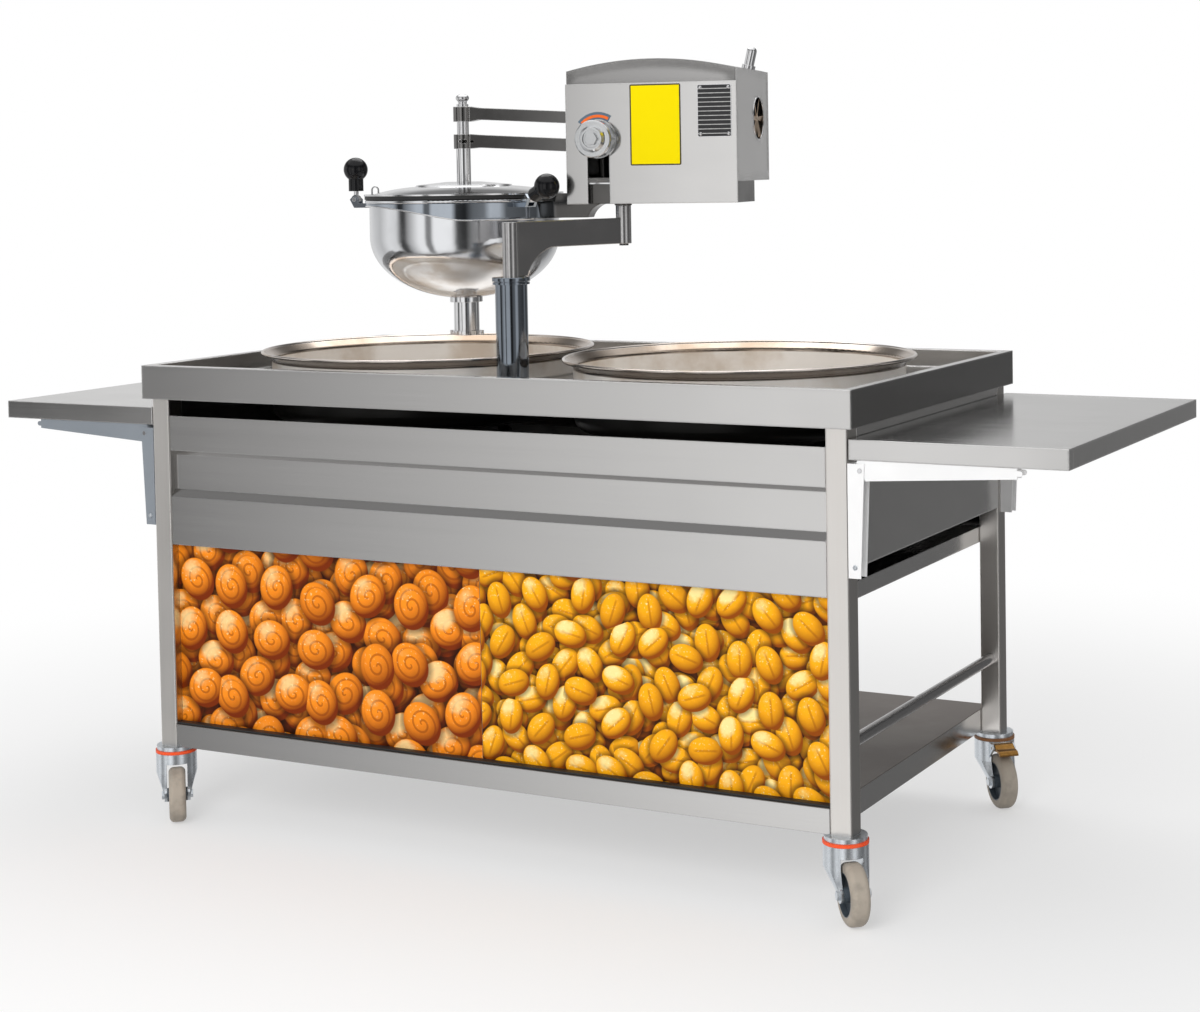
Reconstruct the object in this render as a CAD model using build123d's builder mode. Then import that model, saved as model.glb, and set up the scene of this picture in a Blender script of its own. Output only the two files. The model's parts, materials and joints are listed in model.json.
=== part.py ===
"""Mini donut machine: a wheeled steel cart with two frying pans and a swinging dough head.

All sizes are in millimetres. The origin is on the floor under the middle of the cart,
+X runs to the right along the front, +Y to the back and +Z up.
"""
import os
from math import atan2, cos, degrees, hypot, radians, sin, sqrt

from build123d import *

os.makedirs("parts", exist_ok=True)

# Cart
table_length = 1500.0
table_depth = 800.0
table_height = 890.0
sheet = 1.5
tray_rim_height = 65.0
tray_rim_width = 18.0
tray_recess = 35.0
tray_corner = 2.0
leg_size = 40.0
leg_wall = 2.0
leg_corner = 3.0
leg_inset = 14.0
caster_height = 143.0
lower_shelf_rise = 45.0
lower_shelf_gap = 1.0
drip_tray_drop = 24.0
drip_tray_lip = 30.0
drip_tray_inset = 26.0
mid_bar_rise = 101.0
mid_bar_radius = 11.0

# Front, rear and side sheets
fascia_slot = 33.0
fascia_height = 251.0
fascia_setback = 2.0
fascia_recess = 10.0
fascia_recess_drop = 67.0
fascia_recess_height = 90.0
fascia_top_slope = 9.0
fascia_bottom_slope = 14.0
fold_return = 12.0
side_panel_height = 237.0
print_setback = 19.0
print_sheet = 2.0
print_overlap = 16.0
print_seam = 1.0

# Pans and burners
pan_x = 350.0
pan_body_radius = 312.0
pan_seat_width = 6.0
pan_seat_height = 4.0
pan_wall_drop = 3.7
pan_shoulder_round = 6.0
pan_flange_slope = 35.0
pan_flange_length = 18.8
pan_depth = 85.0
pan_wall = 2.0
pan_corner = 25.0
pan_bead = 3.5
pan_hole_gap = 0.5
burner_radius = 150.0
burner_width = 26.0
burner_height = 22.0
burner_edge = 6.0
burner_drop = 45.0
burner_leg_radius = 8.0
burner_leg_count = 3
mixer_radius = 11.0
mixer_end_y = 300.0
gas_pipe_radius = 13.0
gas_pipe_end = 60.0
gas_inlet_radius = 9.0
gas_inlet_length = 18.0

# Running fits
fit_gap = 0.3
shaft_gap = 0.05

# Folding side shelves
shelf_length = 376.0
shelf_overhang = 3.0
shelf_drop = 18.0
shelf_lip = 34.0
shelf_gap = 2.0
shelf_offset_y = 4.0
bracket_width = 26.0
bracket_plate = 2.0
bracket_drop = 190.0
bracket_top_depth = 30.0
bracket_foot_depth = 22.0
bracket_pivot_out = 22.0
bracket_pivot_drop = 17.0
bracket_pin_radius = 4.0
bracket_pin_head = 1.2
arm_length = 292.0
arm_root_drop = 17.0
arm_root_length = 10.0
arm_tip_height = 18.0
arm_root_radius = 10.0
arm_hook_length = 9.0
stiffener_plate = 2.0

# Casters
trail_turn = -49.0
trail = 38.0
wheel_radius = 52.5
wheel_width = 32.0
wheel_edge = 10.0
wheel_rim_radius = 35.0
wheel_web = 10.0
wheel_hub_radius = 13.0
axle_radius = 4.0
axle_head_radius = 8.0
axle_head_length = 5.0
socket_radius = 37.0
socket_height = 8.0
seal_height = 5.5
seal_radius = 39.5
seal_inner_radius = 20.0
king_pin_radius = 6.0
king_pin_engage = 6.0
fork_head_radius = 39.0
fork_head_height = 39.0
fork_slot_half = 19.5
fork_cheek = 5.0
fork_boss_radius = 13.0
wheel_top_gap = 5.0
pedal_pivot_x = 46.0
pedal_pivot_drop = 9.2
pedal_pin_radius = 2.5
pedal_ear = 4.0

# Column and swing arm
column_inset = 160.0
column_radius = 30.0
column_wall = 3.0
column_rise = 157.0
column_foot_radius = 55.0
column_foot_height = 8.0
collar_radius = 35.5
collar_height = 13.0
collar_skirt = 40.0
collar_groove = 4.0
post_radius = 15.0
post_depth = 110.0
swing_length = 300.0
swing_turn = 75.0
swing_plate = 12.0
swing_rise = 102.0
swing_plate_height = 50.0
gusset_reach = 105.0
barrel_radius = 15.0
barrel_rise = 24.0
spindle_radius = 9.0
spindle_end = 4.0

# Dough head, placed in its own frame on the swing arm's barrel
head_turn = 12.0
head_left = -95.0
head_right = 246.0
plate_front_y = -60.0
plate_sheet = 2.5
head_gap = 4.0
plate_height = 231.0
base_height = 41.0
base_back_y = 85.0
base_edge = 5.0
cover_back_y = 205.0
cover_rise = 25.0
cover_arch = 21.0
cover_inset = 2.0
cover_frame = 8.0
vent_radius = 42.0
vent_y = 120.0
vent_rise = 163.0
notch_left = -52.0
notch_right = -8.0
notch_height = 100.0
notch_pocket = 14.0
dose_x = -30.0
dose_rise = 125.0
dose_shaft_radius = 8.0
dose_boss_radius = 20.0
dose_boss_length = 22.0
dose_washer_radius = 37.0
dose_washer_length = 3.0
dose_hex_flat = 62.0
dose_hex_length = 20.0
dose_neck_radius = 28.0
dose_neck_length = 4.0
dose_disc_radius = 36.0
dose_disc_length = 9.0
dose_disc_edge = 2.0
dose_cap_radius = 26.0
dose_cap_top_radius = 21.0
dose_cap_length = 9.0
dose_bore_radius = 17.0
dose_bore_depth = 4.0
dose_bolt_radius = 13.0
dose_bolt_length = 8.0
handle_inset = 24.0
handle_y = 127.0
handle_radius = 10.0
handle_length = 48.0
handle_round = 8.0
handle_tilt = 13.0
handle_collar_radius = 13.5
handle_collar_height = 12.0

# Drive inside the head
gearbox_left = -20.0
gearbox_right = 85.0
gearbox_front_y = 20.0
gearbox_back_y = 150.0
gearbox_height = 160.0
crank_y = 65.0
crank_rise = 145.0
crank_radius = 42.0
crank_thickness = 9.0
crank_throw = 26.0
crank_pin_radius = 6.0
crank_shaft_radius = 10.0
motor_radius = 50.0
motor_end_x = 200.0
fan_radius = 38.0
fan_hub_radius = 13.0
fan_width = 18.0
fan_blades = 7
fan_gap = 10.0
fan_blade_root = 2.0
fan_blade_sheet = 2.0
fan_blade_margin = 4.0
fan_blade_pitch = 35.0
fan_shaft_radius = 6.0
guide_x = -60.0
guide_radius = 10.0

# Bowl, its lid and the dough rods
bowl_x = -356.0
bowl_y = 65.0
bowl_radius = 190.0
bowl_wall = 2.0
bowl_depth = 193.0
bowl_round_depth = 125.0
bowl_rim_rise = 5.0
bowl_rim_radius = 198.0
bowl_rim_height = 8.0
collar_wall = 6.5
collar_gap = 0.3
collar_deep_drop = 33.0
collar_shallow_drop = 11.0
bracket_half_width = 20.0
gasket_height = 7.0
gasket_width = 17.0
lid_radius = 200.0
lid_wall = 2.0
lid_edge_height = 3.0
lid_flat_radius = 182.0
lid_ring_radius = 98.0
lid_ring_rise = 14.0
lid_ring_step = 3.0
lid_top_radius = 34.0
lid_top_rise = 23.0
lid_eye_radius = 8.0
lid_eye_wire = 2.0
nozzle_radius = 25.5
nozzle_wall = 2.5
nozzle_length = 75.0
nozzle_flange_radius = 33.0
nozzle_flange_height = 8.0
nozzle_ring_radius = 28.5
nozzle_ring_height = 9.0
nozzle_ear_reach = 36.0
nozzle_ear_radius = 4.5
rod_radius = 12.0
rod_top_rise = 53.0
rod_cap_height = 20.0
rod_cap_radius = 13.0
rod_waist_radius = 9.0
rod_disc_height = 8.0
sleeve_radius = 14.5
sleeve_inner_gap = 0.1
sleeve_rise = 28.0
plunger_height = 16.0
arm_width = 16.0
arm_rise = 13.0
piston_arm_rise = 169.0
piston_arm_height = 24.0
piston_boss_height = 30.0
cutter_arm_rise = 114.0
cutter_arm_height = 26.0
cutter_boss_height = 29.0
boss_radius = 19.0
arm_slot_side = 4.0
piston_travel = 25.0
clamp_screw_radius = 4.0
clamp_screw_length = 22.0

# Levers that lock the bowl in its collar
lever_left_angle = 180.0
lever_right_angle = -36.0
lever_right_tilt = 68.0
lever_pivot_radius = 236.0
lever_pivot_rise = 8.0
lever_pin_radius = 4.0
lever_eye_radius = 9.0
lever_eye_width = 12.0
lever_stem_radius = 5.0
lever_knob_start = 17.0
lever_ball_distance = 61.0
lever_ball_radius = 24.5
lever_neck_radius = 15.0
lug_width = 6.0
lug_foot_drop = 9.0

# Places worked out from the sizes above
leg_x = table_length / 2 - leg_inset - leg_size / 2
leg_y = table_depth / 2 - leg_inset - leg_size / 2
leg_inner_x = leg_x - leg_size / 2
leg_inner_y = leg_y - leg_size / 2
leg_outer_x = leg_x + leg_size / 2
leg_outer_y = leg_y + leg_size / 2
tray_bottom_z = table_height - tray_rim_height
tray_floor_z = table_height - tray_recess
tray_under_z = tray_floor_z - sheet
lower_shelf_z = caster_height + lower_shelf_rise
lower_shelf_lip = lower_shelf_rise - lower_shelf_gap
mid_bar_z = lower_shelf_z + mid_bar_rise
fascia_top_z = tray_bottom_z - fascia_slot
fascia_bottom_z = fascia_top_z - fascia_height
fascia_recess_top_z = fascia_top_z - fascia_recess_drop
fascia_recess_bottom_z = fascia_recess_top_z - fascia_recess_height
drip_tray_z = fascia_bottom_z - drip_tray_drop
side_panel_bottom_z = tray_bottom_z - side_panel_height
shelf_top_z = tray_bottom_z - shelf_drop
pan_wall_top_z = table_height - pan_wall_drop
pan_bottom_z = tray_floor_z - pan_depth
burner_z = pan_bottom_z - burner_drop
drip_floor_z = drip_tray_z + sheet
fascia_y = leg_outer_y - fascia_setback
print_y = leg_outer_y - print_setback
shelf_inner_x = leg_outer_x + shelf_gap
shelf_width = 2 * (leg_outer_y + shelf_overhang)
drip_tray_depth = 2 * (leg_outer_y - drip_tray_inset)
shelf_bottom_z = shelf_top_z - shelf_lip
pivot_x = leg_outer_x + bracket_pivot_out
pivot_z = shelf_bottom_z - bracket_pivot_drop
bracket_inner_half = bracket_width / 2 - bracket_plate
bracket_y = leg_outer_y - bracket_width / 2
bracket_top_z = shelf_bottom_z - bracket_pivot_drop + bracket_pin_radius * 2.75
fork_top_z = caster_height - socket_height - seal_height - fit_gap
fork_head_z = fork_top_z - fork_head_height
pedal_pivot_z = fork_top_z - pedal_pivot_drop
corners = {"front_left": (-1, -1), "front_right": (1, -1), "rear_left": (-1, 1), "rear_right": (1, 1)}
sides = {"left": -1, "right": 1}
column_y = column_inset - table_depth / 2
column_top_z = table_height + column_rise
collar_top_z = column_top_z + collar_height
arm_foot_z = collar_top_z + fit_gap
swing_top_z = collar_top_z + swing_rise
swing_bottom_z = swing_top_z - swing_plate_height
barrel_top_z = swing_top_z + barrel_rise
barrel_x = swing_length * cos(radians(swing_turn))
barrel_y = column_y + swing_length * sin(radians(swing_turn))
plate_back_y = plate_front_y + plate_sheet
plate_bottom_z = barrel_top_z + head_gap
plate_top_z = plate_bottom_z + plate_height
base_top_z = plate_bottom_z + base_height
cover_left = head_left + cover_inset
cover_right = head_right - cover_inset
cover_middle = (cover_left + cover_right) / 2
cover_corner_z = plate_top_z + cover_rise
vent_z = plate_bottom_z + vent_rise
notch_top_z = plate_bottom_z + notch_height
dose_z = plate_bottom_z + dose_rise
crank_z = plate_bottom_z + crank_rise
handle_x = head_right - handle_inset
bowl_rim_z = plate_bottom_z + bowl_rim_rise
bowl_bottom_z = bowl_rim_z - bowl_depth
bowl_top_z = bowl_rim_z + bowl_rim_height
gasket_top_z = bowl_top_z + gasket_height
collar_inner = bowl_radius + collar_gap
collar_outer = collar_inner + collar_wall
collar_deep_z = bowl_rim_z - collar_deep_drop
collar_shallow_z = bowl_rim_z - collar_shallow_drop
nozzle_bore = nozzle_radius - nozzle_wall
nozzle_bottom_z = bowl_bottom_z - nozzle_length
sleeve_bottom_z = bowl_bottom_z + sleeve_rise
piston_arm_z = plate_bottom_z + piston_arm_rise
cutter_arm_z = plate_bottom_z + cutter_arm_rise
rod_top_z = piston_arm_z + rod_top_rise
lever_pivot_z = bowl_rim_z + lever_pivot_rise
lug_foot_z = bowl_rim_z - lug_foot_drop
cover_floor_z = base_top_z + sheet


def upright(x, y):
    """A standing plane through a vertical axis: its X is the radius and its Y the height."""
    return Plane((x, y, 0), x_dir=(1, 0, 0), z_dir=(0, -1, 0))


def turned(x, y, turn):
    """A level plane at the floor, turned about the vertical."""
    return Plane((x, y, 0), x_dir=(cos(radians(turn)), sin(radians(turn)), 0), z_dir=(0, 0, 1))


head_frame = turned(barrel_x, barrel_y, head_turn)
swing_frame = turned(0, column_y, swing_turn)
bowl_point = head_frame.from_local_coords(Vector(bowl_x, bowl_y, 0))


def level(frame, x, y, z):
    """A level plane at a point of a turned frame."""
    return Plane(frame.from_local_coords(Vector(x, y, z)), x_dir=frame.x_dir, z_dir=(0, 0, 1))


def facing(frame, y):
    """A standing plane of a turned frame, seen from the front: X to the right and Y up."""
    return Plane(frame.from_local_coords(Vector(0, y, 0)), x_dir=frame.x_dir, z_dir=frame.y_dir * -1)


def sideways(frame, x):
    """A standing plane of a turned frame, seen from the right: X to the back and Y up."""
    return Plane(frame.from_local_coords(Vector(x, 0, 0)), x_dir=frame.y_dir, z_dir=frame.x_dir)


def post_axis(frame, x, y):
    """The vertical axis through a point of a turned frame."""
    return Axis(frame.from_local_coords(Vector(x, y, 0)), (0, 0, 1))


def radial(frame, x, y):
    """A standing plane through a vertical axis of a turned frame: X is the radius, Y the height."""
    return Plane(frame.from_local_coords(Vector(x, y, 0)), x_dir=frame.x_dir, z_dir=frame.y_dir * -1)


def folded(points, turn):
    """The outline of a folded sheet: its outer face follows the points, the inside is on one hand."""
    inner = []
    for i, (x, y) in enumerate(points):
        before = points[max(i - 1, 0)]
        after = points[min(i + 1, len(points) - 1)]
        runs = []
        for start, end in ((before, (x, y)), ((x, y), after)):
            length = hypot(end[0] - start[0], end[1] - start[1])
            if length > 0:
                runs.append(((end[0] - start[0]) / length, (end[1] - start[1]) / length))
        nx = sum(-turn * run[1] for run in runs)
        ny = sum(turn * run[0] for run in runs)
        reach = sheet * len(runs) / (nx * nx + ny * ny)
        inner.append((x + nx * reach, y + ny * reach))
    return list(points) + inner[::-1]


# Legs: square tubes that carry the tray's floor
for corner, (sx, sy) in corners.items():
    with BuildPart() as leg:
        with BuildSketch(Plane((sx * leg_x, sy * leg_y, caster_height))):
            RectangleRounded(leg_size, leg_size, leg_corner)
            offset(amount=-leg_wall, kind=Kind.INTERSECTION, mode=Mode.SUBTRACT)
        extrude(amount=tray_under_z - caster_height)
    leg.part.label = f"leg_{corner}"
    export_step(leg.part, f"parts/leg_{corner}.step")

# Tray: one folded sheet with a hollow rim and round openings for the pans
with BuildPart() as tray:
    with BuildSketch(Plane.XY.offset(tray_bottom_z)):
        RectangleRounded(table_length, table_depth, tray_corner)
    extrude(amount=tray_rim_height)
    with BuildSketch(Plane.XY.offset(table_height)):
        Rectangle(table_length - 2 * tray_rim_width, table_depth - 2 * tray_rim_width)
    extrude(amount=-tray_recess, mode=Mode.SUBTRACT)
    with BuildSketch(Plane.XY.offset(tray_bottom_z)):
        Rectangle(table_length - 2 * sheet, table_depth - 2 * sheet)
    extrude(amount=tray_under_z - tray_bottom_z, mode=Mode.SUBTRACT)
    with BuildSketch(Plane.XY.offset(tray_under_z)):
        Rectangle(table_length - 2 * sheet, table_depth - 2 * sheet)
        Rectangle(
            table_length - 2 * (tray_rim_width - sheet),
            table_depth - 2 * (tray_rim_width - sheet),
            mode=Mode.SUBTRACT,
        )
    extrude(amount=tray_recess, mode=Mode.SUBTRACT)
    with BuildSketch(Plane.XY.offset(tray_floor_z)):
        with Locations((-pan_x, 0), (pan_x, 0)):
            Circle(pan_body_radius + pan_hole_gap)
    extrude(amount=-sheet, mode=Mode.SUBTRACT)
tray.part.label = "tray"
export_step(tray.part, "parts/tray.step")

# Pans: deep round pans with a flared flange and a rolled edge, hung by a seat ring on the tray's floor
for side, sx in sides.items():
    with BuildPart() as pan:
        with BuildSketch(upright(sx * pan_x, 0)):
            with BuildLine():
                floor = Line((0, pan_bottom_z), (pan_body_radius - pan_corner, pan_bottom_z))
                bend = JernArc(floor @ 1, (1, 0), pan_corner, 90)
                wall = Line(bend @ 1, (pan_body_radius, pan_wall_top_z))
                shoulder = JernArc(wall @ 1, (0, 1), pan_shoulder_round, pan_flange_slope - 90)
                flange = Line(shoulder @ 1, shoulder @ 1 + pan_flange_length * (shoulder % 1))
                offset(amount=pan_wall, side=Side.LEFT, kind=Kind.INTERSECTION)
            make_face()
            with Locations(flange @ 1):
                Circle(pan_bead)
            with BuildLine():
                Polyline(
                    (pan_body_radius - pan_wall, tray_floor_z),
                    (pan_body_radius + pan_seat_width, tray_floor_z),
                    (pan_body_radius + pan_seat_width, tray_floor_z + pan_seat_height),
                    (pan_body_radius - pan_wall, tray_floor_z + pan_seat_height),
                    close=True,
                )
            make_face()
        revolve(axis=Axis((sx * pan_x, 0, 0), (0, 0, 1)))
    pan.part.label = f"pan_{side}"
    export_step(pan.part, f"parts/pan_{side}.step")

# Burners: a cast ring on three legs under each pan, with its mixing tube to the back
with BuildPart() as burners:
    for sx in sides.values():
        with BuildSketch(upright(sx * pan_x, 0)):
            with Locations((burner_radius, burner_z)):
                RectangleRounded(burner_width, burner_height, burner_edge)
        revolve(axis=Axis((sx * pan_x, 0, 0), (0, 0, 1)))
        with BuildSketch(Plane((sx * pan_x, 0, burner_z))):
            with PolarLocations(burner_radius, burner_leg_count, start_angle=30):
                Circle(burner_leg_radius)
        extrude(amount=drip_floor_z - burner_z)
        with BuildSketch(Plane((sx * pan_x, burner_radius, burner_z), x_dir=(1, 0, 0), z_dir=(0, 1, 0))):
            Circle(mixer_radius)
        extrude(amount=mixer_end_y - burner_radius)
burners.part.label = "burners"
export_step(burners.part, "parts/burners.step")

# Gas pipe: a manifold behind both mixing tubes, with its inlet through the rear panel
with BuildPart() as gas_pipe:
    pipe_y = mixer_end_y + gas_pipe_radius
    with BuildSketch(Plane((-pan_x - gas_pipe_end, pipe_y, burner_z), x_dir=(0, 1, 0), z_dir=(1, 0, 0))):
        Circle(gas_pipe_radius)
    extrude(amount=2 * (pan_x + gas_pipe_end))
    with BuildSketch(Plane((0, pipe_y, burner_z), x_dir=(1, 0, 0), z_dir=(0, 1, 0))):
        Circle(gas_inlet_radius)
    extrude(amount=fascia_y - pipe_y + gas_inlet_length)
    for sx in sides.values():
        with BuildSketch(Plane((sx * pan_x, pipe_y, burner_z), x_dir=(1, 0, 0), z_dir=(0, -1, 0))):
            Circle(mixer_radius / 2)
        extrude(amount=gas_pipe_radius)
gas_pipe.part.label = "gas_pipe"
export_step(gas_pipe.part, "parts/gas_pipe.step")

# Fascia: a stepped front sheet between the front legs, below an air slot
with BuildPart() as fascia:
    with BuildSketch(Plane.YZ):
        with BuildLine():
            fascia_path = [
                (-fascia_y + fold_return, fascia_top_z),
                (-fascia_y, fascia_top_z),
                (-fascia_y, fascia_recess_top_z),
                (-fascia_y + fascia_recess, fascia_recess_top_z - fascia_top_slope),
                (-fascia_y + fascia_recess, fascia_recess_bottom_z + fascia_bottom_slope),
                (-fascia_y, fascia_recess_bottom_z),
                (-fascia_y, fascia_bottom_z),
                (-fascia_y + fold_return, fascia_bottom_z),
            ]
            Polyline(*folded(fascia_path, 1), close=True)
        make_face()
    extrude(amount=leg_inner_x - fit_gap, both=True)
fascia.part.label = "fascia"
export_step(fascia.part, "parts/fascia.step")

# Rear panel: a plain folded sheet behind the burners
with BuildPart() as rear_panel:
    with BuildSketch(Plane.YZ):
        with BuildLine():
            rear_path = [
                (fascia_y - fold_return, fascia_top_z),
                (fascia_y, fascia_top_z),
                (fascia_y, fascia_bottom_z),
                (fascia_y - fold_return, fascia_bottom_z),
            ]
            Polyline(*folded(rear_path, -1), close=True)
        make_face()
    extrude(amount=leg_inner_x - fit_gap, both=True)
    with BuildSketch(Plane((0, fascia_y, burner_z), x_dir=(1, 0, 0), z_dir=(0, -1, 0))):
        Circle(gas_inlet_radius + fit_gap)
    extrude(amount=sheet, mode=Mode.SUBTRACT)
rear_panel.part.label = "rear_panel"
export_step(rear_panel.part, "parts/rear_panel.step")

# Side panels: folded sheets flush with the outsides of the legs
for side, sx in sides.items():
    with BuildPart() as side_panel:
        with BuildSketch(Plane.XZ):
            with BuildLine():
                side_path = [
                    (sx * (leg_outer_x - fold_return), tray_under_z),
                    (sx * leg_outer_x, tray_under_z),
                    (sx * leg_outer_x, side_panel_bottom_z),
                    (sx * (leg_outer_x - fold_return), side_panel_bottom_z),
                ]
                Polyline(*folded(side_path, -sx), close=True)
            make_face()
        extrude(amount=leg_inner_y, both=True)
    side_panel.part.label = f"side_panel_{side}"
    export_step(side_panel.part, f"parts/side_panel_{side}.step")

# Print panels: two flat sheets that stand on the lower shelf behind the fascia's lower edge
for side, sx in sides.items():
    panel_width = leg_inner_x - print_seam / 2
    panel_height = fascia_bottom_z + print_overlap - lower_shelf_z
    with BuildPart() as print_panel:
        with BuildSketch(Plane((0, -print_y, 0), x_dir=(1, 0, 0), z_dir=(0, -1, 0))):
            with Locations((sx * (leg_inner_x + print_seam / 2) / 2, lower_shelf_z + panel_height / 2)):
                Rectangle(panel_width, panel_height)
        extrude(amount=-print_sheet)
    print_panel.part.label = f"print_panel_{side}"
    export_step(print_panel.part, f"parts/print_panel_{side}.step")

# Drip tray: an open tray under the burners, held between the legs
with BuildPart() as drip_tray:
    with BuildSketch(Plane.XY.offset(drip_tray_z)):
        Rectangle(2 * leg_inner_x, drip_tray_depth)
    extrude(amount=drip_tray_lip)
    offset(amount=-sheet, openings=drip_tray.faces().sort_by(Axis.Z)[-1], kind=Kind.INTERSECTION)
drip_tray.part.label = "drip_tray"
export_step(drip_tray.part, "parts/drip_tray.step")

# Lower shelf: a sheet with all four edges folded down
with BuildPart() as lower_shelf:
    with BuildSketch(Plane.XY.offset(lower_shelf_z)):
        Rectangle(2 * leg_inner_x, 2 * leg_outer_y)
    extrude(amount=-lower_shelf_lip)
    offset(amount=-sheet, openings=lower_shelf.faces().sort_by(Axis.Z)[0], kind=Kind.INTERSECTION)
lower_shelf.part.label = "lower_shelf"
export_step(lower_shelf.part, "parts/lower_shelf.step")

# Mid bars: a round bar between the legs on each side
with BuildPart() as mid_bars:
    with BuildSketch(Plane((0, -leg_inner_y, mid_bar_z), x_dir=(1, 0, 0), z_dir=(0, -1, 0))):
        with Locations((-leg_x, 0), (leg_x, 0)):
            Circle(mid_bar_radius)
    extrude(amount=-2 * leg_inner_y)
mid_bars.part.label = "mid_bars"
export_step(mid_bars.part, "parts/mid_bars.step")

# Bracket channels: tapered channels on the outsides of the legs
with BuildPart() as bracket_channels:
    for sx, sy in corners.values():
        with BuildSketch(Plane((0, sy * bracket_y, 0), x_dir=(1, 0, 0), z_dir=(0, -1, 0))):
            with BuildLine():
                Polyline(
                    (sx * leg_outer_x, bracket_top_z),
                    (sx * (leg_outer_x + bracket_top_depth), bracket_top_z),
                    (sx * (leg_outer_x + bracket_foot_depth), bracket_top_z - bracket_drop),
                    (sx * leg_outer_x, bracket_top_z - bracket_drop),
                    close=True,
                )
            make_face()
        extrude(amount=bracket_width / 2, both=True)
        with BuildSketch(Plane((0, sy * bracket_y, 0), x_dir=(1, 0, 0), z_dir=(0, -1, 0))):
            inside_x = leg_outer_x + bracket_plate + bracket_top_depth / 2
            with Locations((sx * inside_x, bracket_top_z - bracket_drop / 2)):
                Rectangle(bracket_top_depth, bracket_drop + 2 * bracket_plate)
        extrude(amount=bracket_inner_half, both=True, mode=Mode.SUBTRACT)
        with BuildSketch(Plane((sx * pivot_x, sy * bracket_y, pivot_z), x_dir=(1, 0, 0), z_dir=(0, -1, 0))):
            Circle(bracket_pin_radius)
        extrude(amount=bracket_width, both=True, mode=Mode.SUBTRACT)
bracket_channels.part.label = "bracket_channels"
export_step(bracket_channels.part, "parts/bracket_channels.step")

# Bracket pins: one riveted pin through each channel
with BuildPart() as bracket_pins:
    for sx, sy in corners.values():
        with BuildSketch(Plane((sx * pivot_x, sy * bracket_y, pivot_z), x_dir=(1, 0, 0), z_dir=(0, -1, 0))):
            Circle(bracket_pin_radius)
        extrude(amount=bracket_width / 2 + bracket_pin_head, both=True)
bracket_pins.part.label = "bracket_pins"
export_step(bracket_pins.part, "parts/bracket_pins.step")

# Shelves: folded sheets with a channel stiffener above each arm
for side, sx in sides.items():
    shelf_middle_x = sx * (shelf_inner_x + shelf_length / 2)
    with BuildPart() as shelf:
        with BuildSketch(Plane((shelf_middle_x, shelf_offset_y, shelf_top_z))):
            Rectangle(shelf_length, shelf_width)
        extrude(amount=-shelf_lip)
        offset(amount=-sheet, openings=shelf.faces().sort_by(Axis.Z)[0], kind=Kind.INTERSECTION)
        for sy in (-1, 1):
            with BuildSketch(Plane((shelf_middle_x, sy * bracket_y, shelf_bottom_z))):
                Rectangle(shelf_length - 2 * sheet, 2 * bracket_inner_half - 2 * fit_gap)
            extrude(amount=shelf_lip - sheet)
            with BuildSketch(Plane((shelf_middle_x, sy * bracket_y, shelf_bottom_z + stiffener_plate))):
                Rectangle(shelf_length - 2 * sheet, 2 * (bracket_inner_half - fit_gap - stiffener_plate))
            extrude(amount=shelf_lip - sheet - stiffener_plate, mode=Mode.SUBTRACT)
    shelf.part.label = f"shelf_{side}"
    export_step(shelf.part, f"parts/shelf_{side}.step")

# Shelf arms: tapered channels that fold into the bracket channels
for side, sx in sides.items():
    arm_half = bracket_inner_half - fit_gap
    with BuildPart() as shelf_arms:
        for sy in (-1, 1):
            arm_plane = Plane((sx * pivot_x, sy * bracket_y, pivot_z), x_dir=(1, 0, 0), z_dir=(0, -1, 0))
            arm_tip_x = arm_length - bracket_pivot_out
            with BuildSketch(arm_plane):
                with BuildLine():
                    Polyline(
                        (-sx * arm_root_radius / 2, bracket_pivot_drop),
                        (sx * arm_tip_x, bracket_pivot_drop),
                        (sx * arm_tip_x, bracket_pivot_drop - arm_tip_height),
                        (sx * arm_root_length, -arm_root_drop),
                        (0, -arm_root_radius),
                        (-sx * arm_root_radius, 0),
                        close=True,
                    )
                make_face()
                with Locations((sx * arm_tip_x, bracket_pivot_drop - arm_tip_height / 2)):
                    SlotOverall(2 * arm_hook_length, arm_tip_height / 2)
            extrude(amount=arm_half, both=True)
            with BuildSketch(arm_plane):
                with Locations((sx * (arm_tip_x / 2 + arm_root_radius), -arm_root_drop / 2 + fit_gap)):
                    Rectangle(arm_tip_x, arm_root_drop + 2 * bracket_pivot_drop - 2 * bracket_plate)
            extrude(amount=arm_half - bracket_plate, both=True, mode=Mode.SUBTRACT)
            with BuildSketch(arm_plane):
                Circle(bracket_pin_radius + shaft_gap)
            extrude(amount=bracket_width, both=True, mode=Mode.SUBTRACT)
    shelf_arms.part.label = f"shelf_arms_{side}"
    export_step(shelf_arms.part, f"parts/shelf_arms_{side}.step")

# Caster sockets: a round plate under each leg with a plug inside the tube
with BuildPart() as caster_sockets:
    for sx, sy in corners.values():
        with BuildSketch(Plane((sx * leg_x, sy * leg_y, caster_height))):
            Circle(socket_radius)
        extrude(amount=-socket_height)
        with BuildSketch(Plane((sx * leg_x, sy * leg_y, caster_height))):
            plug_size = leg_size - 2 * leg_wall - fit_gap
            RectangleRounded(plug_size, plug_size, leg_corner)
        extrude(amount=leg_size)
        with BuildSketch(Plane((sx * leg_x, sy * leg_y, caster_height - socket_height))):
            Circle(king_pin_radius + shaft_gap)
        extrude(amount=socket_height, mode=Mode.SUBTRACT)
caster_sockets.part.label = "caster_sockets"
export_step(caster_sockets.part, "parts/caster_sockets.step")

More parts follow.
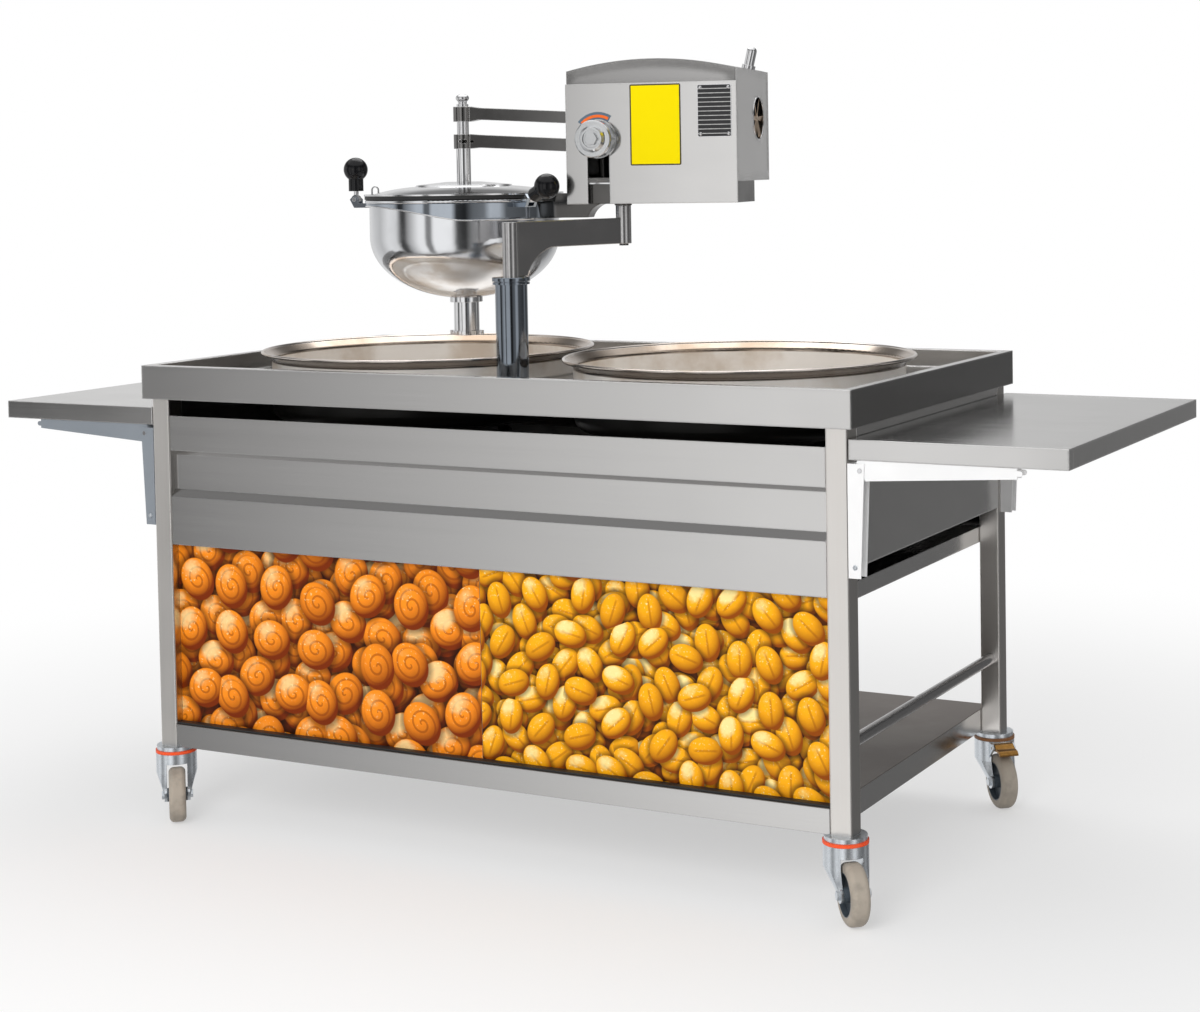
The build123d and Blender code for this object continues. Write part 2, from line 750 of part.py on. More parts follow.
# Caster seals: a soft ring between each socket and its swivel head
with BuildPart() as caster_seals:
    for sx, sy in corners.values():
        with BuildSketch(Plane((sx * leg_x, sy * leg_y, caster_height - socket_height))):
            Circle(seal_radius)
            Circle(seal_inner_radius, mode=Mode.SUBTRACT)
        extrude(amount=-seal_height)
caster_seals.part.label = "caster_seals"
export_step(caster_seals.part, "parts/caster_seals.step")

# Caster forks: a swivel head drawn out into two cheeks, with its pin on top and an axle bolt
for corner, (sx, sy) in corners.items():
    frame = turned(sx * leg_x, sy * leg_y, trail_turn)
    fork_half = fork_slot_half + fork_cheek
    with BuildPart() as caster_fork:
        with BuildSketch(level(frame, 0, 0, fork_head_z)):
            Circle(fork_head_radius)
        extrude(amount=fork_head_height)
        with BuildSketch(level(frame, 0, 0, fork_head_z)):
            Circle(fork_head_radius)
        with BuildSketch(level(frame, trail, 0, wheel_radius)):
            RectangleRounded(2 * fork_boss_radius, 2 * fork_half, fork_cheek / 2)
        loft()
        with BuildSketch(facing(frame, 0)):
            with Locations((trail, wheel_radius)):
                Circle(fork_boss_radius)
        extrude(amount=fork_half, both=True)
        if sy > 0:
            with BuildSketch(facing(frame, 0)):
                with BuildLine():
                    Polyline(
                        (trail / 2, fork_top_z),
                        (trail / 2, fork_head_z - pedal_ear),
                        (pedal_pivot_x, pedal_pivot_z - 3 * pedal_pin_radius),
                        (pedal_pivot_x + 3 * pedal_pin_radius, pedal_pivot_z),
                        (pedal_pivot_x, pedal_pivot_z + 3 * pedal_pin_radius),
                        close=True,
                    )
                make_face()
            extrude(amount=fork_slot_half + pedal_ear, both=True)
        with BuildSketch(sideways(frame, 0)):
            slot_top_z = 2 * wheel_radius + wheel_top_gap
            with Locations((0, slot_top_z / 2)):
                Rectangle(2 * fork_slot_half, slot_top_z)
        extrude(amount=trail + fork_head_radius * 2, both=True, mode=Mode.SUBTRACT)
        if sy > 0:
            with BuildSketch(level(frame, fork_head_radius + fit_gap, 0, fork_head_z - pedal_ear)):
                Rectangle(2 * fork_boss_radius, 2 * fork_slot_half, align=(Align.MIN, Align.CENTER))
            extrude(amount=fork_head_height + 2 * pedal_ear, mode=Mode.SUBTRACT)
            with BuildSketch(facing(frame, 0)):
                with Locations((pedal_pivot_x, pedal_pivot_z)):
                    Circle(pedal_pin_radius + shaft_gap)
            extrude(amount=fork_half, both=True, mode=Mode.SUBTRACT)
        with BuildSketch(facing(frame, 0)):
            with Locations((trail, wheel_radius)):
                Circle(axle_radius)
        extrude(amount=fork_half, both=True, mode=Mode.SUBTRACT)
        with BuildSketch(level(frame, 0, 0, fork_top_z)):
            Circle(king_pin_radius)
        extrude(amount=fit_gap + seal_height + king_pin_engage)
    with BuildPart() as axle_bolt:
        with BuildSketch(facing(frame, 0)):
            with Locations((trail, wheel_radius)):
                Circle(axle_radius)
        extrude(amount=fork_half, both=True)
        for end in (-1, 1):
            with BuildSketch(facing(frame, end * fork_half)):
                with Locations((trail, wheel_radius)):
                    RegularPolygon(axle_head_radius, 6)
            extrude(amount=-end * axle_head_length)
    fork_pieces = [caster_fork.part.solid(), axle_bolt.part.solid()]
    fork = Compound(label=f"caster_fork_{corner}", children=fork_pieces)
    export_step(fork, f"parts/caster_fork_{corner}.step")

# Caster wheels: a rounded tyre on a recessed hub
for corner, (sx, sy) in corners.items():
    frame = turned(sx * leg_x, sy * leg_y, trail_turn)
    axle_point = frame.from_local_coords(Vector(trail, 0, wheel_radius))
    axle_line = Axis(axle_point, frame.y_dir)
    hub_half = fork_slot_half - fit_gap
    tyre_half = wheel_width / 2
    tread_half = tyre_half - wheel_edge
    tyre_shoulder = wheel_radius - wheel_edge
    with BuildPart() as caster_wheel:
        with BuildSketch(Plane(axle_point, x_dir=frame.y_dir, z_dir=frame.x_dir)):
            with BuildLine():
                Polyline(
                    (-hub_half, axle_radius + shaft_gap),
                    (-hub_half, wheel_hub_radius),
                    (-wheel_web / 2, wheel_hub_radius),
                    (-wheel_web / 2, wheel_rim_radius),
                    (-tyre_half, wheel_rim_radius),
                    (-tyre_half, tyre_shoulder),
                )
                RadiusArc((-tyre_half, tyre_shoulder), (-tread_half, wheel_radius), wheel_edge)
                Line((-tread_half, wheel_radius), (tread_half, wheel_radius))
                RadiusArc((tread_half, wheel_radius), (tyre_half, tyre_shoulder), wheel_edge)
                Polyline(
                    (tyre_half, tyre_shoulder),
                    (tyre_half, wheel_rim_radius),
                    (wheel_web / 2, wheel_rim_radius),
                    (wheel_web / 2, wheel_hub_radius),
                    (hub_half, wheel_hub_radius),
                    (hub_half, axle_radius + shaft_gap),
                    (-hub_half, axle_radius + shaft_gap),
                )
            make_face()
        revolve(axis=axle_line)
    caster_wheel.part.label = f"caster_wheel_{corner}"
    export_step(caster_wheel.part, f"parts/caster_wheel_{corner}.step")

# Brake pedals: pressed levers on the rear forks
for side, sx in sides.items():
    frame = turned(sx * leg_x, leg_y, trail_turn)
    with BuildPart() as brake_pedal:
        with BuildSketch(facing(frame, 0)):
            with BuildLine():
                Spline(
                    (pedal_pivot_x - 4.5, pedal_pivot_z + 5),
                    (pedal_pivot_x + 3, pedal_pivot_z + 7),
                    (pedal_pivot_x + 14, pedal_pivot_z + 1),
                    (pedal_pivot_x + 26, pedal_pivot_z - 1),
                    (pedal_pivot_x + 33, pedal_pivot_z - 8),
                )
                Polyline(
                    (pedal_pivot_x + 33, pedal_pivot_z - 8),
                    (pedal_pivot_x + 31, pedal_pivot_z - 10),
                    (pedal_pivot_x + 24, pedal_pivot_z - 5),
                    (pedal_pivot_x + 12, pedal_pivot_z - 4),
                    (pedal_pivot_x + 3, pedal_pivot_z - 5),
                    (pedal_pivot_x - 4.5, pedal_pivot_z - 4),
                    (pedal_pivot_x - 4.5, pedal_pivot_z + 5),
                )
            make_face()
        extrude(amount=fork_slot_half - fit_gap, both=True)
        with BuildSketch(facing(frame, 0)):
            with Locations((pedal_pivot_x, pedal_pivot_z)):
                Circle(pedal_pin_radius)
        extrude(amount=fork_slot_half + pedal_ear, both=True)
    brake_pedal.part.label = f"brake_pedal_{side}"
    export_step(brake_pedal.part, f"parts/brake_pedal_{side}.step")

# Column: a tube on a round foot, with a grooved bearing collar in its top
with BuildPart() as column_tube:
    with BuildSketch(Plane((0, column_y, tray_floor_z))):
        Circle(column_foot_radius)
    extrude(amount=column_foot_height)
    with BuildSketch(Plane((0, column_y, tray_floor_z))):
        Circle(column_radius)
    extrude(amount=column_top_z - tray_floor_z)
    with BuildSketch(Plane((0, column_y, column_top_z))):
        Circle(column_radius - column_wall)
    extrude(amount=tray_floor_z + column_foot_height - column_top_z, mode=Mode.SUBTRACT)
with BuildPart() as column_collar:
    with BuildSketch(upright(0, column_y)):
        with BuildLine():
            Polyline(
                (post_radius + shaft_gap, column_top_z - collar_skirt),
                (column_radius - column_wall, column_top_z - collar_skirt),
                (column_radius - column_wall, column_top_z),
                (collar_radius - 1, column_top_z),
                (collar_radius - 1, column_top_z + collar_groove),
                (collar_radius - collar_groove, column_top_z + collar_groove),
                (collar_radius - collar_groove, column_top_z + 1.5 * collar_groove),
                (collar_radius, column_top_z + 1.5 * collar_groove),
                (collar_radius, collar_top_z - 1),
                (collar_radius - 1, collar_top_z),
                (post_radius + shaft_gap, collar_top_z),
                close=True,
            )
        make_face()
    revolve(axis=Axis((0, column_y, 0), (0, 0, 1)))
column = Compound(label="column", children=[column_tube.part.solid(), column_collar.part.solid()])
export_step(column, "parts/column.step")

# Swing arm: a post that turns in the collar, a gusseted plate and the barrel at its end
with BuildPart() as swing_arm:
    with BuildSketch(level(swing_frame, 0, 0, collar_top_z - post_depth)):
        Circle(post_radius)
    extrude(amount=swing_top_z - collar_top_z + post_depth)
    with BuildSketch(facing(swing_frame, 0)):
        with BuildLine():
            Polyline(
                (collar_radius, arm_foot_z),
                (0, arm_foot_z),
                (0, swing_top_z),
                (swing_length, swing_top_z),
                (swing_length, swing_bottom_z),
                (gusset_reach, swing_bottom_z),
            )
            gusset_drop = swing_bottom_z - arm_foot_z
            gusset_run = gusset_reach - collar_radius
            gusset_chord = hypot(gusset_drop, gusset_run)
            RadiusArc((gusset_reach, swing_bottom_z), (collar_radius, arm_foot_z), -gusset_chord)
        make_face()
    extrude(amount=swing_plate / 2, both=True)
    with BuildSketch(level(swing_frame, swing_length, 0, swing_bottom_z)):
        Circle(barrel_radius)
    extrude(amount=barrel_top_z - swing_bottom_z)
    with BuildSketch(level(swing_frame, swing_length, 0, swing_bottom_z)):
        Circle(spindle_radius + shaft_gap)
    extrude(amount=barrel_top_z - swing_bottom_z, mode=Mode.SUBTRACT)
swing_arm.part.label = "swing_arm"
export_step(swing_arm.part, "parts/swing_arm.step")

# Head base: the casting with the spindle, the guide post and the bracket for the bowl's collar
base_shift_y = (plate_back_y + base_back_y) / 2
with BuildPart() as head_base:
    with BuildSketch(level(head_frame, cover_middle, base_shift_y, plate_bottom_z)):
        Rectangle(cover_right - cover_left, base_back_y - plate_back_y)
    extrude(amount=base_height)
    fillet(head_base.edges().filter_by(Axis.Z), base_edge)
    with BuildSketch(facing(head_frame, plate_back_y + notch_pocket)):
        with Locations(((notch_left + notch_right) / 2, plate_bottom_z + base_height / 2)):
            Rectangle(notch_right - notch_left, base_height)
    extrude(amount=notch_pocket, mode=Mode.SUBTRACT)
    with BuildSketch(facing(head_frame, bowl_y)):
        with BuildLine():
            Polyline(
                (cover_left + base_height, plate_bottom_z),
                (cover_left + base_height, plate_bottom_z + base_height / 2),
                (bowl_x + bowl_radius, plate_bottom_z + base_height / 2),
                (bowl_x + bowl_radius, collar_deep_z),
                (cover_left + base_edge, collar_deep_z),
            )
            RadiusArc(
                (cover_left + base_edge, collar_deep_z),
                (cover_left + base_height, plate_bottom_z),
                base_height,
            )
        make_face()
    extrude(amount=bracket_half_width, both=True)
    with BuildSketch(level(head_frame, bowl_x, bowl_y, collar_deep_z)):
        Circle(collar_outer)
    extrude(amount=bowl_rim_z - collar_deep_z, mode=Mode.SUBTRACT)
    with BuildSketch(level(head_frame, bowl_x, bowl_y, bowl_rim_z)):
        Circle(lid_radius + 2 * fit_gap)
    extrude(amount=base_height, mode=Mode.SUBTRACT)
    with BuildSketch(level(head_frame, 0, 0, plate_bottom_z)):
        Circle(barrel_radius + 2)
    extrude(amount=barrel_top_z + fit_gap - plate_bottom_z)
    with BuildSketch(level(head_frame, 0, 0, plate_bottom_z)):
        Circle(spindle_radius)
    extrude(amount=swing_bottom_z - spindle_end - plate_bottom_z)
    with BuildSketch(level(head_frame, guide_x, bowl_y, base_top_z)):
        Circle(guide_radius)
    extrude(amount=cover_corner_z - sheet * 4 - base_top_z)
head_base.part.label = "head_base"
export_step(head_base.part, "parts/head_base.step")

# Front plate: the sheet in front of the head, with its notch and the boss for the dose knob
with BuildPart() as front_plate:
    with BuildSketch(facing(head_frame, plate_back_y)):
        with Locations(((head_left + head_right) / 2, plate_bottom_z + plate_height / 2)):
            Rectangle(head_right - head_left, plate_height)
        with Locations(((notch_left + notch_right) / 2, (plate_bottom_z + notch_top_z) / 2)):
            Rectangle(notch_right - notch_left, notch_top_z - plate_bottom_z, mode=Mode.SUBTRACT)
    extrude(amount=plate_sheet)
    with BuildSketch(facing(head_frame, plate_back_y)):
        with Locations((dose_x, dose_z)):
            Circle(dose_boss_radius)
    extrude(amount=-dose_boss_length)
    with BuildSketch(facing(head_frame, plate_front_y)):
        with Locations((dose_x, dose_z)):
            Circle(dose_shaft_radius + shaft_gap)
    extrude(amount=-plate_sheet - dose_boss_length, mode=Mode.SUBTRACT)
front_plate.part.label = "front_plate"
export_step(front_plate.part, "parts/front_plate.step")

# Head cover: an arched box over the drive, open behind the front plate
cover_points = [
    (cover_right, cover_corner_z),
    (cover_right, base_top_z),
    (cover_left, base_top_z),
    (cover_left, cover_corner_z),
]
with BuildPart() as head_cover:
    with BuildSketch(facing(head_frame, plate_back_y)) as cover_outline:
        with BuildLine():
            Polyline(*cover_points)
            ThreePointArc(
                (cover_left, cover_corner_z),
                (cover_middle, cover_corner_z + cover_arch),
                (cover_right, cover_corner_z),
            )
        make_face()
    extrude(amount=plate_back_y - cover_back_y)
    with BuildSketch(facing(head_frame, plate_back_y + sheet)):
        with BuildLine():
            Polyline(
                (cover_right - sheet, cover_corner_z - sheet),
                (cover_right - sheet, cover_floor_z),
                (cover_left + sheet, cover_floor_z),
                (cover_left + sheet, cover_corner_z - sheet),
            )
            ThreePointArc(
                (cover_left + sheet, cover_corner_z - sheet),
                (cover_middle, cover_corner_z + cover_arch - sheet),
                (cover_right - sheet, cover_corner_z - sheet),
            )
        make_face()
    extrude(amount=plate_back_y - cover_back_y + 2 * sheet, mode=Mode.SUBTRACT)
    with BuildSketch(facing(head_frame, plate_back_y)):
        with Locations((cover_middle, (cover_floor_z + plate_top_z) / 2)):
            Rectangle(
                cover_right - cover_left - 2 * cover_frame,
                plate_top_z - cover_floor_z - 2 * cover_frame,
            )
    extrude(amount=-sheet, mode=Mode.SUBTRACT)
    with BuildSketch(sideways(head_frame, cover_right)):
        with Locations((vent_y, vent_z)):
            Circle(vent_radius)
    extrude(amount=-sheet, mode=Mode.SUBTRACT)
    slot_top = piston_arm_z + piston_arm_height / 2 + piston_travel + arm_slot_side
    slot_bottom = cutter_arm_z - cutter_arm_height / 2 - arm_slot_side
    with BuildSketch(sideways(head_frame, cover_left)):
        with Locations((bowl_y, (slot_top + slot_bottom) / 2)):
            Rectangle(arm_width + 2 * arm_slot_side, slot_top - slot_bottom)
    extrude(amount=sheet, mode=Mode.SUBTRACT)
    with BuildSketch(level(head_frame, guide_x, bowl_y, base_top_z)):
        Circle(guide_radius + fit_gap)
    extrude(amount=sheet, mode=Mode.SUBTRACT)
head_cover.part.label = "head_cover"
export_step(head_cover.part, "parts/head_cover.step")

# Gearbox: a cast block on the cover's floor with the bearing for the crank
with BuildPart() as gearbox:
    gearbox_y = (gearbox_front_y + gearbox_back_y) / 2
    with BuildSketch(level(head_frame, (gearbox_left + gearbox_right) / 2, gearbox_y, cover_floor_z)):
        RectangleRounded(gearbox_right - gearbox_left, gearbox_back_y - gearbox_front_y, base_edge)
    extrude(amount=gearbox_height)
    with BuildSketch(sideways(head_frame, gearbox_left)):
        with Locations((crank_y, crank_z)):
            Circle(crank_shaft_radius + shaft_gap)
    extrude(amount=(gearbox_right - gearbox_left) / 2, mode=Mode.SUBTRACT)
gearbox.part.label = "gearbox"
export_step(gearbox.part, "parts/gearbox.step")

# Drive crank: a disc with its throw pin towards the arms
crank_face_x = gearbox_left - fit_gap
with BuildPart() as drive_crank:
    with BuildSketch(sideways(head_frame, crank_face_x)):
        with Locations((crank_y, crank_z)):
            Circle(crank_radius)
    extrude(amount=-crank_thickness)
    with BuildSketch(sideways(head_frame, crank_face_x)):
        with Locations((crank_y, crank_z)):
            Circle(crank_shaft_radius)
    extrude(amount=(gearbox_right - gearbox_left) / 2 - fit_gap)
    with BuildSketch(sideways(head_frame, crank_face_x - crank_thickness)):
        with Locations((crank_y, crank_z + crank_throw)):
            Circle(crank_pin_radius)
    extrude(amount=-crank_thickness)
drive_crank.part.label = "drive_crank"
export_step(drive_crank.part, "parts/drive_crank.step")

# Motor: a round motor behind the vent, bolted to the gearbox
with BuildPart() as motor:
    with BuildSketch(sideways(head_frame, gearbox_right)):
        with Locations((vent_y, vent_z)):
            Circle(motor_radius)
    extrude(amount=motor_end_x - gearbox_right)
    fillet(motor.edges().filter_by(GeomType.CIRCLE), base_edge)
    with BuildSketch(sideways(head_frame, motor_end_x)):
        with Locations((vent_y, vent_z)):
            Circle(fan_shaft_radius)
    extrude(amount=cover_right - sheet * 4 - motor_end_x)
motor.part.label = "motor"
export_step(motor.part, "parts/motor.step")

# Fan: slanted blades on a hub that turns on the motor's shaft
fan_start_x = motor_end_x + fan_gap
with BuildPart() as fan:
    with BuildSketch(sideways(head_frame, fan_start_x)):
        with Locations((vent_y, vent_z)):
            Circle(fan_hub_radius)
    extrude(amount=fan_width)
    fan_middle = head_frame.from_local_coords(Vector(fan_start_x + fan_width / 2, vent_y, vent_z))
    for i in range(fan_blades):
        blade_turn = radians(360 / fan_blades * i)
        outward = head_frame.y_dir * cos(blade_turn) + Vector(0, 0, 1) * sin(blade_turn)
        blade_foot = fan_middle + outward * (fan_hub_radius - fan_blade_root)
        with BuildSketch(Plane(blade_foot, x_dir=head_frame.x_dir, z_dir=outward)):
            Rectangle(fan_width - fan_blade_margin, fan_blade_sheet, rotation=fan_blade_pitch)
        extrude(amount=fan_radius - fan_hub_radius + fan_blade_root)
    with BuildSketch(sideways(head_frame, fan_start_x)):
        with Locations((vent_y, vent_z)):
            Circle(fan_shaft_radius + shaft_gap)
    extrude(amount=fan_width, mode=Mode.SUBTRACT)
fan.part.label = "fan"
export_step(fan.part, "parts/fan.step")

# Dose knob: a turned disc with a bolt sunk in its cap, in front of a six-sided grip
knob_start_y = plate_front_y - fit_gap
knob_foot = head_frame.from_local_coords(Vector(dose_x, knob_start_y, dose_z))
disc_start = dose_washer_length + dose_hex_length + dose_neck_length
disc_end = disc_start + dose_disc_length
cap_end = disc_end + dose_cap_length
bore_end = cap_end - dose_bore_depth
with BuildPart() as dose_knob:
    with BuildSketch(Plane(knob_foot, x_dir=(0, 0, 1), z_dir=head_frame.x_dir)):
        with BuildLine():
            Polyline(
                (0, 0),
                (dose_washer_radius, 0),
                (dose_washer_radius, dose_washer_length),
                (dose_neck_radius, dose_washer_length),
                (dose_neck_radius, disc_start),
                (dose_disc_radius, disc_start),
                (dose_disc_radius, disc_end - dose_disc_edge),
                (dose_disc_radius - dose_disc_edge, disc_end),
                (dose_cap_radius, disc_end),
                (dose_cap_top_radius, cap_end),
                (dose_bore_radius, cap_end),
                (dose_bore_radius, bore_end),
                (0, bore_end),
                close=True,
            )
        make_face()
    revolve(axis=Axis(knob_foot, head_frame.y_dir))
    with BuildSketch(facing(head_frame, knob_start_y - dose_washer_length)):
        with Locations((dose_x, dose_z)):
            RegularPolygon(dose_hex_flat / 2, 6, major_radius=False)
    extrude(amount=dose_hex_length)
    with BuildSketch(facing(head_frame, knob_start_y - bore_end)):
        with Locations((dose_x, dose_z)):
            RegularPolygon(dose_bolt_radius, 6)
    extrude(amount=dose_bolt_length)
    with BuildSketch(facing(head_frame, knob_start_y)):
        with Locations((dose_x, dose_z)):
            Circle(dose_shaft_radius)
    extrude(amount=-fit_gap - plate_sheet - dose_boss_length)
dose_knob.part.label = "dose_knob"
export_step(dose_knob.part, "parts/dose_knob.step")

# Head handle: a tilted grip pin with a collar, seated on the cover's arch
grip_foot = head_frame.from_local_coords(Vector(handle_x, handle_y, cover_corner_z))
grip_tilt = radians(handle_tilt)
grip_line = head_frame.x_dir * sin(grip_tilt) + Vector(0, 0, 1) * cos(grip_tilt)
with BuildPart() as head_handle:
    with BuildSketch(Plane(grip_foot, x_dir=head_frame.y_dir, z_dir=grip_line)):
        Circle(handle_radius)
    extrude(amount=handle_length)
    fillet(head_handle.edges().filter_by(GeomType.CIRCLE).sort_by(Axis.Z)[-1], handle_round)
    with BuildSketch(Plane(grip_foot, x_dir=head_frame.y_dir, z_dir=grip_line)):
        Circle(handle_collar_radius)
    extrude(amount=handle_collar_height)
    with BuildSketch(facing(head_frame, plate_back_y)):
        with BuildLine():
            Polyline(*cover_points)
            ThreePointArc(
                (cover_left, cover_corner_z),
                (cover_middle, cover_corner_z + cover_arch),
                (cover_right, cover_corner_z),
            )
        make_face()
    extrude(amount=plate_back_y - cover_back_y, mode=Mode.SUBTRACT)
head_handle.part.label = "head_handle"
export_step(head_handle.part, "parts/head_handle.step")

# Piston arm: a forged bar that slides on the guide post and carries the piston rod
# Cutter arm: the same below it for the cutter sleeve, with a clamp screw at the front
for name, arm_z, bar_height, boss_height, bore in (
    ("piston_arm", piston_arm_z, piston_arm_height, piston_boss_height, rod_radius),
    ("cutter_arm", cutter_arm_z, cutter_arm_height, cutter_boss_height, sleeve_radius),
):
    rod_z = arm_z + arm_rise
    with BuildPart() as dough_arm:
        with BuildSketch(facing(head_frame, bowl_y)):
            with BuildLine():
                Polyline(
                    (bowl_x, rod_z - boss_height / 2),
                    (bowl_x + boss_radius, rod_z - boss_height / 2),
                    (bowl_x + 2 * boss_radius, rod_z - bar_height / 2),
                    (head_left, arm_z - bar_height / 2),
                    (guide_x, arm_z - bar_height / 2),
                    (guide_x, arm_z + bar_height / 2),
                    (head_left, arm_z + bar_height / 2),
                    (bowl_x + 2 * boss_radius, rod_z + bar_height / 2),
                    (bowl_x + boss_radius, rod_z + boss_height / 2),
                    (bowl_x, rod_z + boss_height / 2),
                    close=True,
                )
            make_face()
        extrude(amount=arm_width / 2, both=True)
        with BuildSketch(level(head_frame, bowl_x, bowl_y, rod_z - boss_height / 2)):
            Circle(boss_radius)
        extrude(amount=boss_height)
        with BuildSketch(level(head_frame, guide_x, bowl_y, arm_z - bar_height / 2)):
            Circle(boss_radius)
        extrude(amount=bar_height)
        if name == "cutter_arm":
            with BuildSketch(facing(head_frame, bowl_y)):
                with Locations((bowl_x + boss_radius / 2, rod_z)):
                    Circle(clamp_screw_radius)
            extrude(amount=boss_radius + clamp_screw_length)
        with BuildSketch(level(head_frame, bowl_x, bowl_y, rod_z - boss_height / 2)):
            Circle(bore)
        extrude(amount=boss_height, mode=Mode.SUBTRACT)
        with BuildSketch(level(head_frame, guide_x, bowl_y, arm_z - bar_height / 2)):
            Circle(guide_radius + shaft_gap)
        extrude(amount=bar_height, mode=Mode.SUBTRACT)
    dough_arm.part.label = name
    export_step(dough_arm.part, f"parts/{name}.step")

# Piston rod: a capped rod that ends in the disc at the nozzle's mouth
with BuildPart() as piston_rod:
    with BuildSketch(radial(head_frame, bowl_x, bowl_y)):
        with BuildLine():
            disc_bottom_z = nozzle_bottom_z + fit_gap
            cap_foot_z = rod_top_z - rod_cap_height
            Polyline(
                (rod_waist_radius, cap_foot_z + rod_cap_height / 4),
                (rod_waist_radius, cap_foot_z),
                (rod_radius, cap_foot_z),
                (rod_radius, disc_bottom_z + rod_disc_height),
                (nozzle_bore - fit_gap, disc_bottom_z + rod_disc_height),
                (nozzle_bore - fit_gap, disc_bottom_z),
                (0, disc_bottom_z),
                (0, rod_top_z),
            )
            Spline(
                (0, rod_top_z),
                (rod_cap_radius, cap_foot_z + rod_cap_height / 2),
                (rod_waist_radius, cap_foot_z + rod_cap_height / 4),
                tangents=((1, 0), (-1, -1)),
            )
        make_face()
    revolve(axis=post_axis(head_frame, bowl_x, bowl_y))
piston_rod.part.label = "piston_rod"
export_step(piston_rod.part, "parts/piston_rod.step")

# Cutter sleeve: a tube around the piston rod with a plunger at its foot
with BuildPart() as cutter_sleeve:
    sleeve_top_z = cutter_arm_z + arm_rise + cutter_boss_height / 2
    sleeve_bore = rod_radius + sleeve_inner_gap
    with BuildSketch(radial(head_frame, bowl_x, bowl_y)):
        with BuildLine():
            Polyline(
                (sleeve_bore, sleeve_bottom_z),
                (nozzle_bore - 2 * fit_gap, sleeve_bottom_z),
                (nozzle_bore - 2 * fit_gap, sleeve_bottom_z + plunger_height),
                (sleeve_radius, sleeve_bottom_z + plunger_height),
                (sleeve_radius, sleeve_top_z),
                (sleeve_bore, sleeve_top_z),
                close=True,
            )
        make_face()
    revolve(axis=post_axis(head_frame, bowl_x, bowl_y))
cutter_sleeve.part.label = "cutter_sleeve"
export_step(cutter_sleeve.part, "parts/cutter_sleeve.step")

# Bowl: a straight wall on a rounded bottom, with a rolled rim and the opening for the nozzle
round_top_z = bowl_bottom_z + bowl_round_depth
bowl_inner = bowl_radius - bowl_wall
with BuildPart() as bowl:
    with BuildSketch(radial(head_frame, bowl_x, bowl_y)):
        with BuildLine():
            EllipticalCenterArc((0, round_top_z), bowl_radius, bowl_round_depth, start_angle=-90, arc_size=90)
            Polyline(
                (bowl_radius, round_top_z),
                (bowl_radius, bowl_rim_z),
                (bowl_rim_radius, bowl_rim_z),
                (bowl_rim_radius, bowl_top_z),
                (bowl_inner, bowl_top_z),
                (bowl_inner, round_top_z),
            )
            inner_depth = bowl_round_depth - bowl_wall
            EllipticalCenterArc((0, round_top_z), bowl_inner, inner_depth, start_angle=-90, arc_size=90)
            Line((0, bowl_bottom_z), (0, bowl_bottom_z + bowl_wall))
        make_face()
    revolve(axis=post_axis(head_frame, bowl_x, bowl_y))
    fillet(bowl.edges().filter_by(GeomType.CIRCLE).group_by(SortBy.RADIUS)[-1], bowl_rim_height * 0.4)
    with BuildSketch(level(head_frame, bowl_x, bowl_y, bowl_bottom_z - bowl_wall)):
        Circle(nozzle_bore)
    extrude(amount=bowl_round_depth, mode=Mode.SUBTRACT)
bowl.part.label = "bowl"
export_step(bowl.part, "parts/bowl.step")

# Nozzle: a tube under the bowl with a flange that follows its bottom and a ring with two ears
with BuildPart() as nozzle:
    with BuildSketch(level(head_frame, bowl_x, bowl_y, nozzle_bottom_z)):
        Circle(nozzle_radius)
    extrude(amount=bowl_bottom_z + nozzle_flange_height - nozzle_bottom_z)
    with BuildSketch(level(head_frame, bowl_x, bowl_y, bowl_bottom_z - nozzle_flange_height)):
        Circle(nozzle_flange_radius)
    extrude(amount=2 * nozzle_flange_height)
    with BuildSketch(level(head_frame, bowl_x, bowl_y, nozzle_bottom_z)):
        Circle(nozzle_ring_radius)
        Rectangle(2 * (nozzle_ear_reach - nozzle_ear_radius), 2 * nozzle_ear_radius)
        with Locations((nozzle_ear_radius - nozzle_ear_reach, 0), (nozzle_ear_reach - nozzle_ear_radius, 0)):
            Circle(nozzle_ear_radius)
    extrude(amount=nozzle_ring_height)
    with BuildSketch(level(head_frame, bowl_x, bowl_y, nozzle_bottom_z)):
        Circle(nozzle_bore)
    extrude(amount=bowl_round_depth, mode=Mode.SUBTRACT)
    with BuildSketch(radial(head_frame, bowl_x, bowl_y)):
        with BuildLine():
            EllipticalCenterArc((0, round_top_z), bowl_radius, bowl_round_depth, start_angle=-90, arc_size=90)
            Polyline((bowl_radius, round_top_z), (0, round_top_z), (0, bowl_bottom_z))
        make_face()
    revolve(axis=post_axis(head_frame, bowl_x, bowl_y), mode=Mode.SUBTRACT)
nozzle.part.label = "nozzle"
export_step(nozzle.part, "parts/nozzle.step")

